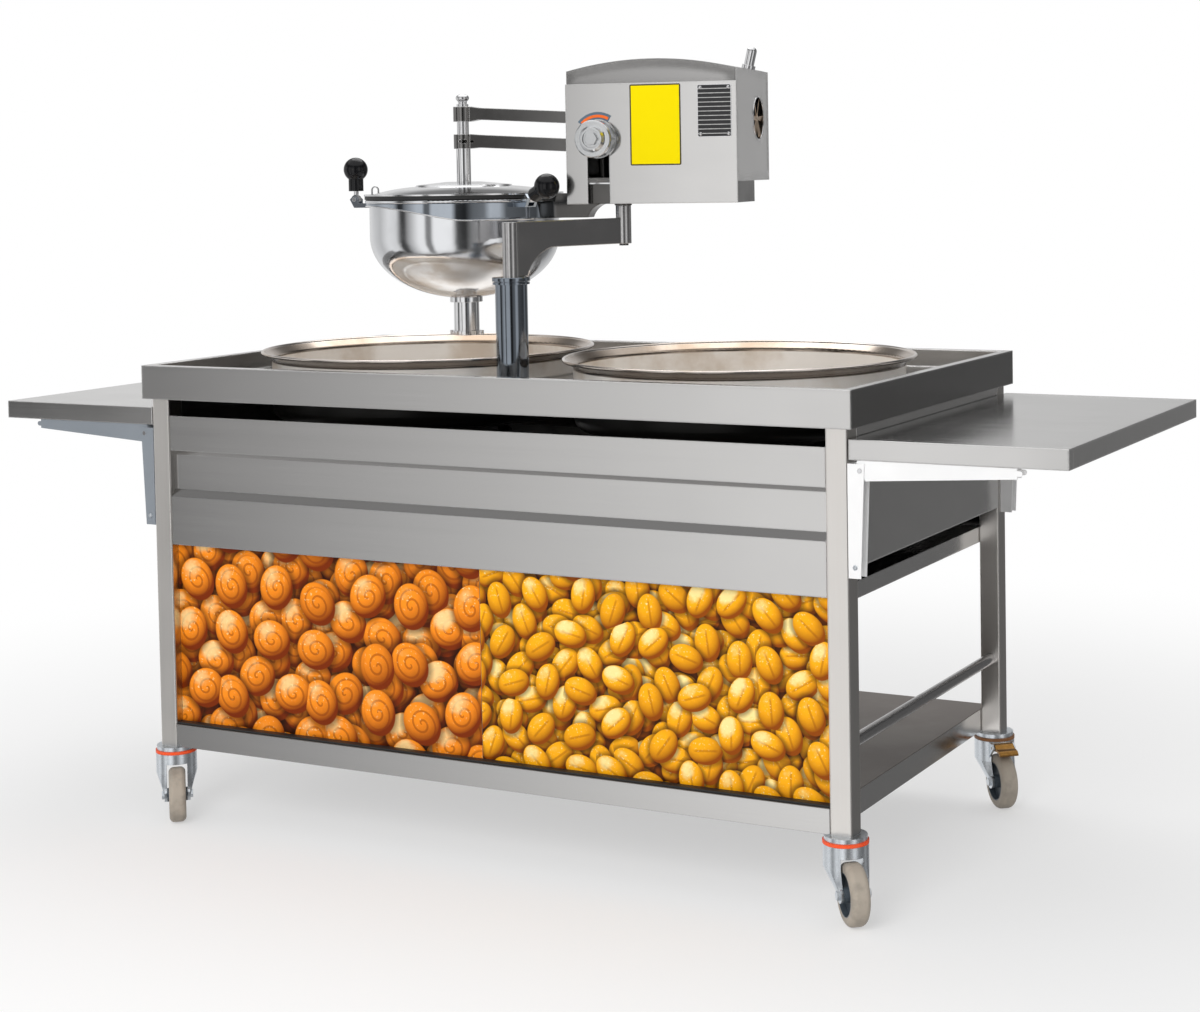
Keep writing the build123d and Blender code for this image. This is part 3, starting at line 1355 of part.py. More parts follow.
# Bowl collar: a band whose lower edge sweeps down to the head, with a lug for each lever
with BuildPart() as bowl_collar:
    with BuildSketch(level(head_frame, bowl_x, bowl_y, collar_deep_z)):
        Circle(collar_outer)
    extrude(amount=bowl_rim_z - collar_deep_z)
    with BuildSketch(facing(head_frame, bowl_y)):
        with BuildLine():
            Spline(
                (bowl_x - 2 * collar_outer, collar_shallow_z),
                (bowl_x - collar_outer / 3, collar_shallow_z),
                (bowl_x + collar_outer / 3, collar_deep_z),
                (bowl_x + 2 * collar_outer, collar_deep_z),
                tangents=((1, 0), (1, 0)),
            )
            Polyline(
                (bowl_x + 2 * collar_outer, collar_deep_z),
                (bowl_x + 2 * collar_outer, collar_deep_z - collar_outer),
                (bowl_x - 2 * collar_outer, collar_deep_z - collar_outer),
                (bowl_x - 2 * collar_outer, collar_shallow_z),
            )
        make_face()
    extrude(amount=2 * collar_outer, both=True, mode=Mode.SUBTRACT)
    for angle in (lever_left_angle, lever_right_angle):
        lug_frame = turned(*tuple(bowl_point)[:2], head_turn + angle)
        lug_span = lever_eye_width / 2 + fit_gap
        with BuildSketch(facing(lug_frame, 0)):
            with BuildLine():
                Polyline(
                    (collar_inner + collar_wall / 2, lug_foot_z),
                    (lever_pivot_radius, lug_foot_z),
                    (lever_pivot_radius + lever_eye_radius, lever_pivot_z),
                    (lever_pivot_radius, lever_pivot_z + lever_eye_radius),
                    (lever_pivot_radius - lever_eye_radius, lever_pivot_z),
                    (lever_pivot_radius - lever_eye_radius, bowl_rim_z),
                    (collar_inner + collar_wall / 2, bowl_rim_z),
                    close=True,
                )
            make_face()
        extrude(amount=lug_span + lug_width, both=True)
        with BuildSketch(facing(lug_frame, 0)):
            with BuildLine():
                Polyline(
                    (collar_outer, lug_foot_z + 2),
                    (lever_pivot_radius + 2 * lever_eye_radius, lug_foot_z + 2),
                    (lever_pivot_radius + 2 * lever_eye_radius, lever_pivot_z + 2 * lever_eye_radius),
                    (collar_outer, lever_pivot_z + 2 * lever_eye_radius),
                    close=True,
                )
            make_face()
        extrude(amount=lug_span, both=True, mode=Mode.SUBTRACT)
        with BuildSketch(facing(lug_frame, 0)):
            with Locations((lever_pivot_radius, lever_pivot_z)):
                Circle(lever_pin_radius + shaft_gap)
        extrude(amount=2 * lug_span + lug_width, both=True, mode=Mode.SUBTRACT)
    with BuildSketch(level(head_frame, bowl_x, bowl_y, collar_deep_z)):
        Circle(collar_inner)
    extrude(amount=bowl_rim_z - collar_deep_z, mode=Mode.SUBTRACT)
bowl_collar.part.label = "bowl_collar"
export_step(bowl_collar.part, "parts/bowl_collar.step")

# Gasket: a flat ring between the bowl's rim and the lid
with BuildPart() as gasket:
    with BuildSketch(level(head_frame, bowl_x, bowl_y, bowl_top_z)):
        Circle(lid_radius - 1)
        Circle(bowl_rim_radius - gasket_width, mode=Mode.SUBTRACT)
    extrude(amount=gasket_height)
gasket.part.label = "gasket"
export_step(gasket.part, "parts/gasket.step")

# Lid: a low dome with a pressed ring and a lifting eye, bored for the sleeve
lid_base_z = gasket_top_z + fit_gap
with BuildPart() as lid:
    with BuildSketch(radial(head_frame, bowl_x, bowl_y)):
        with BuildLine():
            edge_z = lid_base_z + lid_edge_height
            ring_z = edge_z + lid_ring_rise
            step_z = ring_z + lid_ring_step
            top_z = edge_z + lid_top_rise
            hole = sleeve_radius + fit_gap * 2
            dome_radius = 2 * lid_radius
            ring_inner = lid_ring_radius - lid_ring_step
            Polyline(
                (hole, top_z - lid_wall),
                (hole, top_z),
                (lid_top_radius, top_z),
                (ring_inner, step_z),
                (lid_ring_radius, ring_z),
            )
            RadiusArc((lid_ring_radius, ring_z), (lid_flat_radius, edge_z), dome_radius)
            Polyline(
                (lid_flat_radius, edge_z),
                (lid_radius, edge_z),
                (lid_radius, lid_base_z),
                (lid_flat_radius - lid_wall, lid_base_z),
            )
            RadiusArc(
                (lid_flat_radius - lid_wall, lid_base_z),
                (lid_ring_radius - lid_wall, ring_z - lid_wall),
                -dome_radius,
            )
            Polyline(
                (lid_ring_radius - lid_wall, ring_z - lid_wall),
                (ring_inner - lid_wall, step_z - lid_wall),
                (lid_top_radius, top_z - lid_wall),
                (hole, top_z - lid_wall),
            )
        make_face()
    revolve(axis=post_axis(head_frame, bowl_x, bowl_y))
    eye_point = head_frame.from_local_coords(Vector(bowl_x - lid_radius + 3 * lid_eye_wire, bowl_y, edge_z))
    with BuildSketch(Plane(eye_point, x_dir=head_frame.x_dir, z_dir=head_frame.y_dir)):
        SlotOverall(4 * lid_eye_radius, 2 * lid_eye_radius, rotation=90)
        offset(amount=-lid_eye_wire, mode=Mode.SUBTRACT)
        with Locations((0, lid_eye_radius * 1.5)):
            Rectangle(4 * lid_eye_radius, 3 * lid_eye_radius, mode=Mode.SUBTRACT)
    extrude(amount=lid_eye_wire, both=True)
lid.part.label = "lid"
export_step(lid.part, "parts/lid.step")

# Bowl levers: an eye with trunnions, a stem and a nose towards the rim; each has a black knob
for side, angle, tilt in (
    ("left", lever_left_angle, 0.0),
    ("right", lever_right_angle, lever_right_tilt),
):
    lug_frame = turned(*tuple(bowl_point)[:2], head_turn + angle)
    lever_root = lug_frame.from_local_coords(Vector(lever_pivot_radius, 0, lever_pivot_z))
    lever_line = lug_frame.x_dir * sin(radians(tilt)) + Vector(0, 0, 1) * cos(radians(tilt))
    lever_plane = Plane(lever_root, x_dir=lug_frame.y_dir, z_dir=lever_line)
    pin_plane = Plane(lever_root, x_dir=lever_line, z_dir=lug_frame.y_dir)
    with BuildPart() as bowl_lever:
        with BuildSketch(pin_plane):
            Circle(lever_eye_radius)
        extrude(amount=lever_eye_width / 2, both=True)
        with BuildSketch(pin_plane):
            Circle(lever_pin_radius)
        extrude(amount=lever_eye_width / 2 + fit_gap + lug_width, both=True)
        with BuildSketch(lever_plane):
            Circle(lever_stem_radius)
        extrude(amount=lever_ball_distance)
    bowl_lever.part.label = f"bowl_lever_{side}"
    export_step(bowl_lever.part, f"parts/bowl_lever_{side}.step")
    with BuildPart() as lever_knob:
        with BuildSketch(Plane(lever_root, x_dir=lug_frame.y_dir, z_dir=lever_plane.y_dir * -1)):
            with BuildLine():
                meet = sqrt(lever_ball_radius**2 - lever_neck_radius**2)
                Polyline(
                    (0, lever_ball_distance + lever_ball_radius),
                    (0, lever_ball_distance),
                    (lever_stem_radius, lever_ball_distance),
                    (lever_stem_radius, lever_knob_start),
                    (lever_neck_radius, lever_knob_start),
                    (lever_neck_radius, lever_ball_distance - meet),
                )
                ThreePointArc(
                    (lever_neck_radius, lever_ball_distance - meet),
                    (lever_ball_radius, lever_ball_distance),
                    (0, lever_ball_distance + lever_ball_radius),
                )
            make_face()
        revolve(axis=Axis(lever_root, lever_line))
    lever_knob.part.label = f"lever_knob_{side}"
    export_step(lever_knob.part, f"parts/lever_knob_{side}.step")
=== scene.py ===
# %% [markdown]
# # A mini donut machine, dressed in Blender
# The machine is a stainless steel cart with two frying pans, two folding shelves and a head that
# drops dough rings. Its solids are already modelled at real size, in metres, so this lesson loads
# them as a fixed frame. What is left for Blender is the finish of every surface, and the small
# fasteners, plates and seams that a maker adds last.

# %% Load the solids as a fixed frame
import json
from bisect import bisect
from math import atan2, cos, pi, radians, sin

import bmesh
import bpy
from mathutils import Matrix, Vector


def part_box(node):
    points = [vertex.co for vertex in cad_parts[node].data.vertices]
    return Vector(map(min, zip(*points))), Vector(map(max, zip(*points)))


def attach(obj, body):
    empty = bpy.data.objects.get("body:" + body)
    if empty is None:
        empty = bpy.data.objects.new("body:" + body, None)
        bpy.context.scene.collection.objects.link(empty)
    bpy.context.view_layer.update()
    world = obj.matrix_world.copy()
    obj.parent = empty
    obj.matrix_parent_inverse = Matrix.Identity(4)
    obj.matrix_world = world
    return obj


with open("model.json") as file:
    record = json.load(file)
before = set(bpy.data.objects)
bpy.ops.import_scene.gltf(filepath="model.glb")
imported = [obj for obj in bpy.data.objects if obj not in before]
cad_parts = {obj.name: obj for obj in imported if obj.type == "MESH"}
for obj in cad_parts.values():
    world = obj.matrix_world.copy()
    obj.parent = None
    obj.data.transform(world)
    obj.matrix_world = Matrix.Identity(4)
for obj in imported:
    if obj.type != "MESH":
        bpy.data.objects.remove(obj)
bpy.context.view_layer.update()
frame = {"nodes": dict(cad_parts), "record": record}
nodes = frame["nodes"]
joints = {joint["name"]: joint for joint in frame["record"]["behaviour"]["joints"]}

# %% [markdown]
# ## The camera
# The camera could be placed by eye, but a measured one lets every later comparison be exact. It
# stands to the right of the front, a little above the lid, and looks slightly down. The picture is
# cropped off the lens axis, which Blender calls shift. Depth of field stays off.

# %% Camera
camera_place = Vector((2.16436, -3.66117, 1.25390))
camera_yaw = radians(-26.837)
camera_pitch = radians(2.546)
camera_roll = radians(0.873)
focal_pixels = 2181.23
image_width = 1200.0
image_middle = (600.0, 506.0)
lens_axis = (720.0, 266.0)

forward = Vector((sin(camera_yaw) * cos(camera_pitch),
                  cos(camera_yaw) * cos(camera_pitch),
                  -sin(camera_pitch)))
level_right = Vector((cos(camera_yaw), -sin(camera_yaw), 0.0))
level_down = forward.cross(level_right)
view_right = cos(camera_roll) * level_right + sin(camera_roll) * level_down
view_up = sin(camera_roll) * level_right - cos(camera_roll) * level_down
view_turn = Matrix((view_right, view_up, -forward)).transposed().to_4x4()

lens = bpy.data.cameras.new("camera")
lens.sensor_width = 36.0
lens.lens = focal_pixels / image_width * lens.sensor_width
lens.shift_x = (image_middle[0] - lens_axis[0]) / image_width
lens.shift_y = (lens_axis[1] - image_middle[1]) / image_width
camera = bpy.data.objects.new("camera", lens)
camera.matrix_world = Matrix.Translation(camera_place) @ view_turn
bpy.context.collection.objects.link(camera)
bpy.context.scene.camera = camera
bpy.context.scene.view_settings.view_transform = "Standard"
print("lens", round(lens.lens, 2), "mm, shift", round(lens.shift_x, 3), round(lens.shift_y, 3))

# %% [markdown]
# ## Writing nodes in code
# Every finish below is a tree of shader nodes. They could be wired by hand in the node editor. A
# few short helpers do it here, so that each material reads like a formula. A socket knows the tree
# that it belongs to, so the helpers ask it where to put the next node. The type of each node starts
# with ShaderNode, and add_node puts that in front.

# %% Node helpers
def is_socket(value):
    return isinstance(value, bpy.types.NodeSocket)


def tree_of(*values):
    return next(value.id_data for value in values if is_socket(value))


def feed(socket, value):
    if is_socket(value):
        tree_of(socket).links.new(value, socket)
    else:
        socket.default_value = (*value, 1.0) if socket.type == "RGBA" else value


def add_node(tree, kind, **settings):
    node = tree.nodes.new("ShaderNode" + kind)
    for key, value in settings.items():
        setattr(node, key, value)
    return node


def fed_node(kind, values, **settings):
    named = values if isinstance(values, dict) else dict(enumerate(values))
    node = add_node(tree_of(*named.values()), kind, **settings)
    for key, value in named.items():
        feed(node.inputs[key], value)
    return node


def calculate(operation, *values):
    return fed_node("Math", values, operation=operation).outputs[0]


def times(first, second):
    return calculate("MULTIPLY", first, second)


def vector_step(operation, *values):
    outputs = fed_node("VectorMath", values, operation=operation).outputs
    return outputs["Value" if operation in ("LENGTH", "DOT_PRODUCT") else "Vector"]


def axis_value(vector, axis):
    return fed_node("SeparateXYZ", [vector]).outputs[axis]


def remap(value, low, high, new_low=0.0, new_high=1.0, smooth=False):
    kind = "SMOOTHSTEP" if smooth else "LINEAR"
    values = (value, low, high, new_low, new_high)
    return fed_node("MapRange", values, interpolation_type=kind).outputs["Result"]


def blend(factor, first, second, mode="MIX"):
    values = {"Factor": factor, "A": first, "B": second}
    node = fed_node("Mix", values, data_type="RGBA", blend_type=mode)
    return node.outputs["Result"]


def grey(tone):
    return (tone, tone, tone)


print("node helpers ready")

# %% [markdown]
# ## The studio
# Steel has no colour of its own to speak of: it shows the room. A plain white room would make the
# sheets look like paper, so the room that reflections see has pale walls with dark gaps, a darker
# cornice and a bright ceiling. A ramp of grey tones round the horizon is easier to tune than a
# picture of a room would be. The eye still gets plain white, and soft light a plain grey.

# %% World
room_walls = (
    (0.0, 0.55), (0.05, 0.85), (0.09, 0.75), (0.112, 0.05), (0.128, 0.06), (0.137, 0.29),
    (0.157, 0.57), (0.183, 0.94), (0.203, 0.97), (0.212, 0.22), (0.227, 0.24), (0.231, 0.66),
    (0.237, 0.98), (0.300, 1.0), (0.316, 0.07), (0.345, 0.03), (0.368, 0.25), (0.405, 0.34),
    (0.425, 0.92), (0.455, 0.88), (0.48, 0.20), (0.555, 0.14), (0.600, 0.11), (0.614, 0.38),
    (0.640, 0.38), (0.66, 0.09), (0.72, 0.20), (0.744, 0.44), (0.803, 0.62), (0.861, 0.74),
    (0.92, 0.74), (1.0, 0.55))
cornice_tone, ceiling_tone, ground_tone, soft_tone = 0.30, 0.95, 0.40, 0.58
cornice_zone, ceiling_zone, ground_zone = (0.22, 0.42), (0.50, 0.72), (-0.80, -0.45)

world = bpy.data.worlds.new("studio")
bpy.context.scene.world = world
world.use_nodes = True
room = world.node_tree
room.nodes.clear()
direction = add_node(room, "TexCoord").outputs["Generated"]
around = fed_node("TexGradient", [direction], gradient_type="RADIAL").outputs["Fac"]
walls = fed_node("ValToRGB", [around])
stops = walls.color_ramp.elements
while len(stops) < len(room_walls):
    stops.new(0.5)
for stop, (position, tone) in zip(stops, room_walls):
    stop.position = position
    stop.color = (*grey(tone), 1.0)
height = axis_value(direction, "Z")
cornice = remap(height, *cornice_zone, 1.0, cornice_tone, smooth=True)
reflected = blend(1.0, walls.outputs["Color"], cornice, mode="MULTIPLY")
overhead = remap(height, *ceiling_zone, smooth=True)
reflected = blend(overhead, reflected, grey(ceiling_tone))
underfoot = remap(height, *ground_zone, 1.0, 0.0, smooth=True)
reflected = blend(underfoot, reflected, grey(ground_tone))
ray = add_node(room, "LightPath").outputs
mirrored = calculate("MAXIMUM", ray["Is Glossy Ray"], ray["Is Transmission Ray"])
seen = blend(mirrored, grey(soft_tone), reflected)
seen = blend(ray["Is Camera Ray"], seen, grey(1.0))
background = fed_node("Background", [seen]).outputs[0]
fed_node("OutputWorld", [background])
print("world nodes:", len(room.nodes))

# %% [markdown]
# ## The floor
# The cart stands on plain white. An endless white plane would lose its shadow, so a pale disc of
# floor carries the soft shadow and turns into plain white further out, where no horizon line shows.

# %% Floor
floor_radius, floor_tone, floor_lift = 9.0, 0.92, 0.45
shadow_reach, white_reach = 0.9, 2.7

bm = bmesh.new()
bmesh.ops.create_circle(bm, cap_ends=True, segments=96, radius=floor_radius)
floor_mesh = bpy.data.meshes.new("floor")
bm.to_mesh(floor_mesh)
bm.free()
floor = bpy.data.objects.new("floor", floor_mesh)
bpy.context.collection.objects.link(floor)
floor.visible_glossy = False

floor_paint = bpy.data.materials.new("floor_paint")
floor_paint.use_nodes = True
tree = floor_paint.node_tree
tree.nodes.clear()
distance = vector_step("LENGTH", add_node(tree, "TexCoord").outputs["Object"])
away = remap(distance, shadow_reach, white_reach, floor_lift, 1.0, smooth=True)
looked_at = add_node(tree, "LightPath").outputs["Is Camera Ray"]
matt = add_node(tree, "BsdfDiffuse")
feed(matt.inputs["Color"], grey(floor_tone))
white = add_node(tree, "Emission")
shaders = (times(away, looked_at), matt.outputs[0], white.outputs[0])
fed_node("OutputMaterial", [fed_node("MixShader", shaders).outputs[0]])
floor_mesh.materials.append(floor_paint)
print("floor radius", floor_radius, "m")

# %% [markdown]
# ## The lamps
# Sheet metal needs light with a direction, or its folds disappear. Two large round area lamps give
# it softly. The front one is hidden from reflections, so that it draws no white disc on the steel.

# %% Lamps
def soft_lamp(name, place, target, size, power, mirrored):
    light = bpy.data.lights.new(name, "AREA")
    light.shape = "DISK"
    light.size = size
    light.energy = power
    lamp = bpy.data.objects.new(name, light)
    lamp.location = place
    lamp.rotation_euler = (Vector(target) - Vector(place)).to_track_quat("-Z", "Y").to_euler()
    lamp.visible_glossy = mirrored
    bpy.context.collection.objects.link(lamp)


soft_lamp("front_lamp", (0.6, -3.6, 2.2), (0.0, 0.0, 0.6), size=2.4, power=75.0, mirrored=False)
soft_lamp("top_lamp", (-0.8, 1.2, 3.6), (0.0, 0.0, 0.9), size=2.6, power=30.0, mirrored=True)

# %% [markdown]
# ## Shared surface effects
# Some effects come back on many pieces: streaks, smudges, lathe rings, bright folds, paint grain.
# Each could be built again in every material. As shader node groups they are built once, and
# each material gives its own values, so a change here reaches every piece.

# %% Group helpers
socket_kinds = {1: "NodeSocketFloat", 3: "NodeSocketVector", 4: "NodeSocketColor"}
zero, plain = (0.0, 0.0, 0.0), (1.0, 1.0, 1.0, 1.0)


def start_group(name, inputs, outputs):
    group = bpy.data.node_groups.new(name, "ShaderNodeTree")
    for in_out, sockets in (("INPUT", inputs), ("OUTPUT", outputs)):
        for label, value in sockets.items():
            kind = socket_kinds[len(value) if isinstance(value, tuple) else 1]
            socket = group.interface.new_socket(label, in_out=in_out, socket_type=kind)
            socket.default_value = value
    given = group.nodes.new("NodeGroupInput").outputs
    return group, given, group.nodes.new("NodeGroupOutput").inputs


def use_group(group, **values):
    return fed_node("Group", values, node_tree=group).outputs


def noise(vector, scale, detail=2.0, roughness=0.5):
    values = {"Vector": vector, "Scale": scale, "Detail": detail, "Roughness": roughness}
    return fed_node("TexNoise", values).outputs["Fac"]


print("group helpers ready")

# %% [markdown]
# ### Streaks, smudges and lathe rings
# Brushed sheet has long streaks along the rolling direction: noise that is stretched along one
# axis. Hand-worked steel has cloudy smudges and hair scratches. What was made on a lathe has rings
# round its axis, which is noise over the distance from that axis alone.

# %% Brushed streaks
brushed_streaks, given, result = start_group(
    "brushed_streaks", dict(Vector=zero, Stretch=(3.0, 300.0, 300.0)), dict(Streak=0.0, Cloud=0.0))
drawn = vector_step("MULTIPLY", given["Vector"], given["Stretch"])
fine = remap(noise(drawn, 1.0, detail=3.0, roughness=0.7), 0.25, 0.75, 0.0, 0.6)
broad = remap(noise(drawn, 0.12), 0.3, 0.7, 0.0, 0.4)
feed(result["Streak"], calculate("ADD", fine, broad))
feed(result["Cloud"], remap(noise(given["Vector"], 5.0, detail=4.0), 0.3, 0.7))
print("brushed_streaks nodes:", len(brushed_streaks.nodes))

# %% Smudges of handling
scratch_stretch = (60.0, 900.0, 900.0)
handling_smudges, given, result = start_group(
    "handling_smudges", dict(Vector=zero, Size=12.0), dict(Smudge=0.0, Scratch=0.0))
scaled = vector_step("MULTIPLY", given["Vector"], given["Size"])
cloudy = noise(scaled, 1.0, detail=5.0, roughness=0.6)
feed(result["Smudge"], remap(cloudy, 0.42, 0.68, smooth=True))
scored = vector_step("MULTIPLY", given["Vector"], scratch_stretch)
feed(result["Scratch"], noise(scored, 1.0))
print("handling_smudges nodes:", len(handling_smudges.nodes))

# %% Lathe rings
lathe_rings, given, result = start_group(
    "lathe_rings", dict(Vector=zero, Density=400.0), dict(Ring=0.0, Radius=0.0))
radius = vector_step("LENGTH", vector_step("MULTIPLY", given["Vector"], (1.0, 1.0, 0.0)))
settings = {"W": times(radius, given["Density"]), "Scale": 1.0, "Detail": 3.0}
ring_noise = fed_node("TexNoise", settings, noise_dimensions="1D").outputs["Fac"]
feed(result["Ring"], remap(ring_noise, 0.25, 0.75))
feed(result["Radius"], radius)
print("lathe_rings nodes:", len(lathe_rings.nodes))

# %% [markdown]
# ### Painted highlights on folds and painted shade on sides
# A folded edge catches light along its whole length, and a side that faces a dark part of the shop
# looks dark. Here both are painted into the colour: a painted highlight and painted shade. Real
# bevels would need many faces. A Bevel node gives the rounded normal instead: where it departs from
# the flat one, there is a fold, painted nearly white. The normal's direction tells the side, which
# is painted darker, up to nearly black.

# %% Painted fold highlights and painted side shade
fold_highlight_tint, side_shade_tint = (0.99, 0.98, 0.97), (0.02, 0.019, 0.018)

# Painted highlight: where the rounded normal departs from the flat one, the tint turns nearly
# white.
painted_fold_highlight, given, result = start_group(
    "painted_fold_highlight", dict(Tint=plain, Radius=0.004, Strength=1.0), dict(Tint=plain))
rounded = fed_node("Bevel", {"Radius": given["Radius"]}, samples=6).outputs["Normal"]
flat = add_node(painted_fold_highlight, "NewGeometry").outputs["True Normal"]
agreement = vector_step("DOT_PRODUCT", rounded, flat)
highlight_mask = times(remap(agreement, 0.78, 0.985, 1.0, 0.0), given["Strength"])
feed(result["Tint"], blend(highlight_mask, given["Tint"], fold_highlight_tint))

# Painted shade: faces towards the given direction are tinted towards near black.
painted_side_shade, given, result = start_group(
    "painted_side_shade", dict(Tint=plain, Direction=zero, Strength=1.0), dict(Tint=plain))
normal = add_node(painted_side_shade, "TexCoord").outputs["Normal"]
facing = vector_step("DOT_PRODUCT", normal, given["Direction"])
turned = times(remap(facing, 0.2, 0.4), given["Strength"])
feed(result["Tint"], blend(turned, given["Tint"], side_shade_tint))
print("painted_fold_highlight nodes:", len(painted_fold_highlight.nodes), "painted_side_shade nodes:", len(painted_side_shade.nodes))

# %% [markdown]
# ### Paint grain and metal flakes
# Powder paint and rubber have a fine grain over broad clouds of tone: two noises of different
# size. Plated metal crystallises in small flakes, and the cells of a Voronoi texture look like
# them: one random number of each cell sets the tint, another the gloss.

# %% Grain and flakes
paint_grain, given, result = start_group(
    "paint_grain", dict(Vector=zero, Fine=700.0, Coarse=9.0), dict(Grain=0.0, Cloud=0.0))
for label, size in (("Grain", "Fine"), ("Cloud", "Coarse")):
    feed(result[label], noise(given["Vector"], given[size], detail=3.0))

metal_flakes, given, result = start_group(
    "metal_flakes", dict(Vector=zero, Size=420.0), dict(Tint=0.0, Gloss=0.0, Wave=0.0))
values = {"Vector": given["Vector"], "Scale": given["Size"]}
cell_colour = fed_node("TexVoronoi", values).outputs["Color"]
chance = fed_node("SeparateColor", [cell_colour]).outputs
feed(result["Tint"], chance["Red"])
feed(result["Gloss"], chance["Green"])
feed(result["Wave"], noise(given["Vector"], 90.0))
print("paint_grain nodes:", len(paint_grain.nodes), "metal_flakes nodes:", len(metal_flakes.nodes))

# %% [markdown]
# ## Sheet steel and square tube
# The tray, fascia, panels and shelves are stainless sheet, brushed along the length of the cart.
# The legs are satin tube, brushed upright and a little warmer. Each could have a tree of its own,
# but only a few values change, so one function makes them all. Painted shade darkens the step of
# the fascia, the right of tray and legs, the front of the head's cover and the inside of the rear
# panel, and most folds get a painted highlight.

# %% Material helpers
def start_material(name, roughness, metallic=0.0):
    material = bpy.data.materials.new(name)
    material.use_nodes = True
    look = material.node_tree.nodes["Principled BSDF"].inputs
    feed(look["Roughness"], roughness)
    feed(look["Metallic"], metallic)
    place = add_node(material.node_tree, "TexCoord").outputs["Object"]
    return material, look, place


def coat(look, tint, dull):
    feed(look["Base Color"], tint)
    feed(look["Roughness"], dull)


def shade(colour, factor):
    return tuple(min(1.0, channel * factor) for channel in colour)


def two_tone(mask, colour, amount):
    return blend(mask, shade(colour, 1.0 - amount), shade(colour, 1.0 + amount))


def add_bump(look, height, strength, distance, edge=0.0):
    values = {"Height": height, "Strength": strength, "Distance": distance}
    bump = fed_node("Bump", values)
    if edge > 0.0:
        rounded = add_node(tree_of(height), "Bevel", samples=4)
        feed(rounded.inputs["Radius"], edge)
        feed(bump.inputs["Normal"], rounded.outputs["Normal"])
    feed(look["Normal"], bump.outputs["Normal"])


def dress(material, *names):
    for name in names:
        mesh = nodes[name].data
        if not mesh.materials:
            mesh.materials.append(material)
        for slot in nodes[name].material_slots:
            slot.material = material
    print(material.name, "on", len(names), "nodes")


print("material helpers ready")

# %% Brushed steel
upward, inward, rightward = (0.0, 0.0, 1.0), (0.0, -1.0, 0.0), (1.0, 0.0, 0.0)
along_cart, along_head, up_leg = (3.0, 320.0, 320.0), (4.0, 400.0, 400.0), (320.0, 320.0, 3.0)
sheet_tint, tube_tint = (0.72, 0.71, 0.70), (0.98, 0.94, 0.90)


def brushed_steel(name, colour=sheet_tint, roughness=0.18, stretch=along_cart, contrast=0.03,
                  relief=0.02, edge=0.004, painted_highlight=1.0, shaded_side=upward, side_shade_strength=0.0):
    material, look, place = start_material(name, roughness, metallic=1.0)
    streaks = use_group(brushed_streaks, Vector=place, Stretch=stretch)
    tint = two_tone(streaks["Streak"], colour, contrast)
    # Painted shade on the faces that turn towards the shaded side.
    if side_shade_strength > 0.0:
        tint = use_group(painted_side_shade, Tint=tint, Direction=shaded_side, Strength=side_shade_strength)["Tint"]
    # Painted highlight on the folds.
    if painted_highlight > 0.0:
        tint = use_group(painted_fold_highlight, Tint=tint, Radius=edge, Strength=painted_highlight)["Tint"]
    grain = remap(streaks["Streak"], 0.0, 1.0, roughness - 0.03, roughness + 0.03)
    cloud = remap(streaks["Cloud"], 0.0, 1.0, -0.02, 0.03)
    coat(look, tint, calculate("ADD", grain, cloud))
    add_bump(look, streaks["Streak"], relief, 0.0003, edge)
    return material


print("brushed steel ready")

# %% Dress the sheets and legs
knob_place = Vector(joints["dose_turn"]["pos_m"])
head_front = Vector(joints["dose_turn"]["axis"]).normalized()
sides = ("left", "right")
corners = [f"{end}_{side}" for end in ("front", "rear") for side in sides]

dress(brushed_steel("brushed_sheet"),
      "side_panel_left", "side_panel_right", "drip_tray", "shelf_left", "shelf_right")
# Painted shade on the tray's right, the rear panel's inside, the fascia's step, the legs' right and
# the cover's front.
dress(brushed_steel("tray_sheet", shaded_side=rightward, side_shade_strength=0.62), "tray")
dress(brushed_steel("rear_sheet", shaded_side=inward, side_shade_strength=0.97), "rear_panel")
dress(brushed_steel("fascia_sheet", edge=0.003, shaded_side=upward, side_shade_strength=0.75), "fascia")
tube_steel = brushed_steel("satin_tube", tube_tint, 0.30, up_leg, relief=0.01, edge=0.0012,
                           painted_highlight=0.8, shaded_side=rightward, side_shade_strength=0.45)
dress(tube_steel, *[f"leg_{corner}" for corner in corners])
head_steel = brushed_steel("head_sheet", roughness=0.15, stretch=along_head, contrast=0.02,
                           relief=0.01, edge=0.003, painted_highlight=0.8)
dress(head_steel, "front_plate")
cover_steel = brushed_steel("cover_sheet", roughness=0.16, stretch=along_head, contrast=0.02,
                            relief=0.01, edge=0.025, painted_highlight=0.0, shaded_side=head_front, side_shade_strength=0.40)
dress(cover_steel, "head_cover")

# %% [markdown]
# ## A shelf top with dust and painted shade
# The lower shelf is the same sheet, but boxes slide over its top and flour settles there, so the
# top is duller than its front lip. It is also much darker, which is painted shade. Two materials
# could be given to different faces. The height of a point tells the two apart as well, and leaves
# the solid as it is.

# %% Lower shelf
top_band_depth = 0.0008
shelf_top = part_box("lower_shelf")[1][2]


def step_at(value, level, blur, before=0.0, after=1.0):
    return remap(value, level - blur, level + blur, before, after)


dusty_shaded_shelf, look, place = start_material("dusty_shaded_shelf", 0.2, metallic=1.0)
streaks = use_group(brushed_streaks, Vector=place, Stretch=along_cart)
smudges = use_group(handling_smudges, Vector=place, Size=4.0)
on_top = step_at(axis_value(place, "Z"), shelf_top - 1.5 * top_band_depth, 0.5 * top_band_depth)
clean = blend(streaks["Streak"], (0.70, 0.69, 0.68), (0.74, 0.73, 0.72))
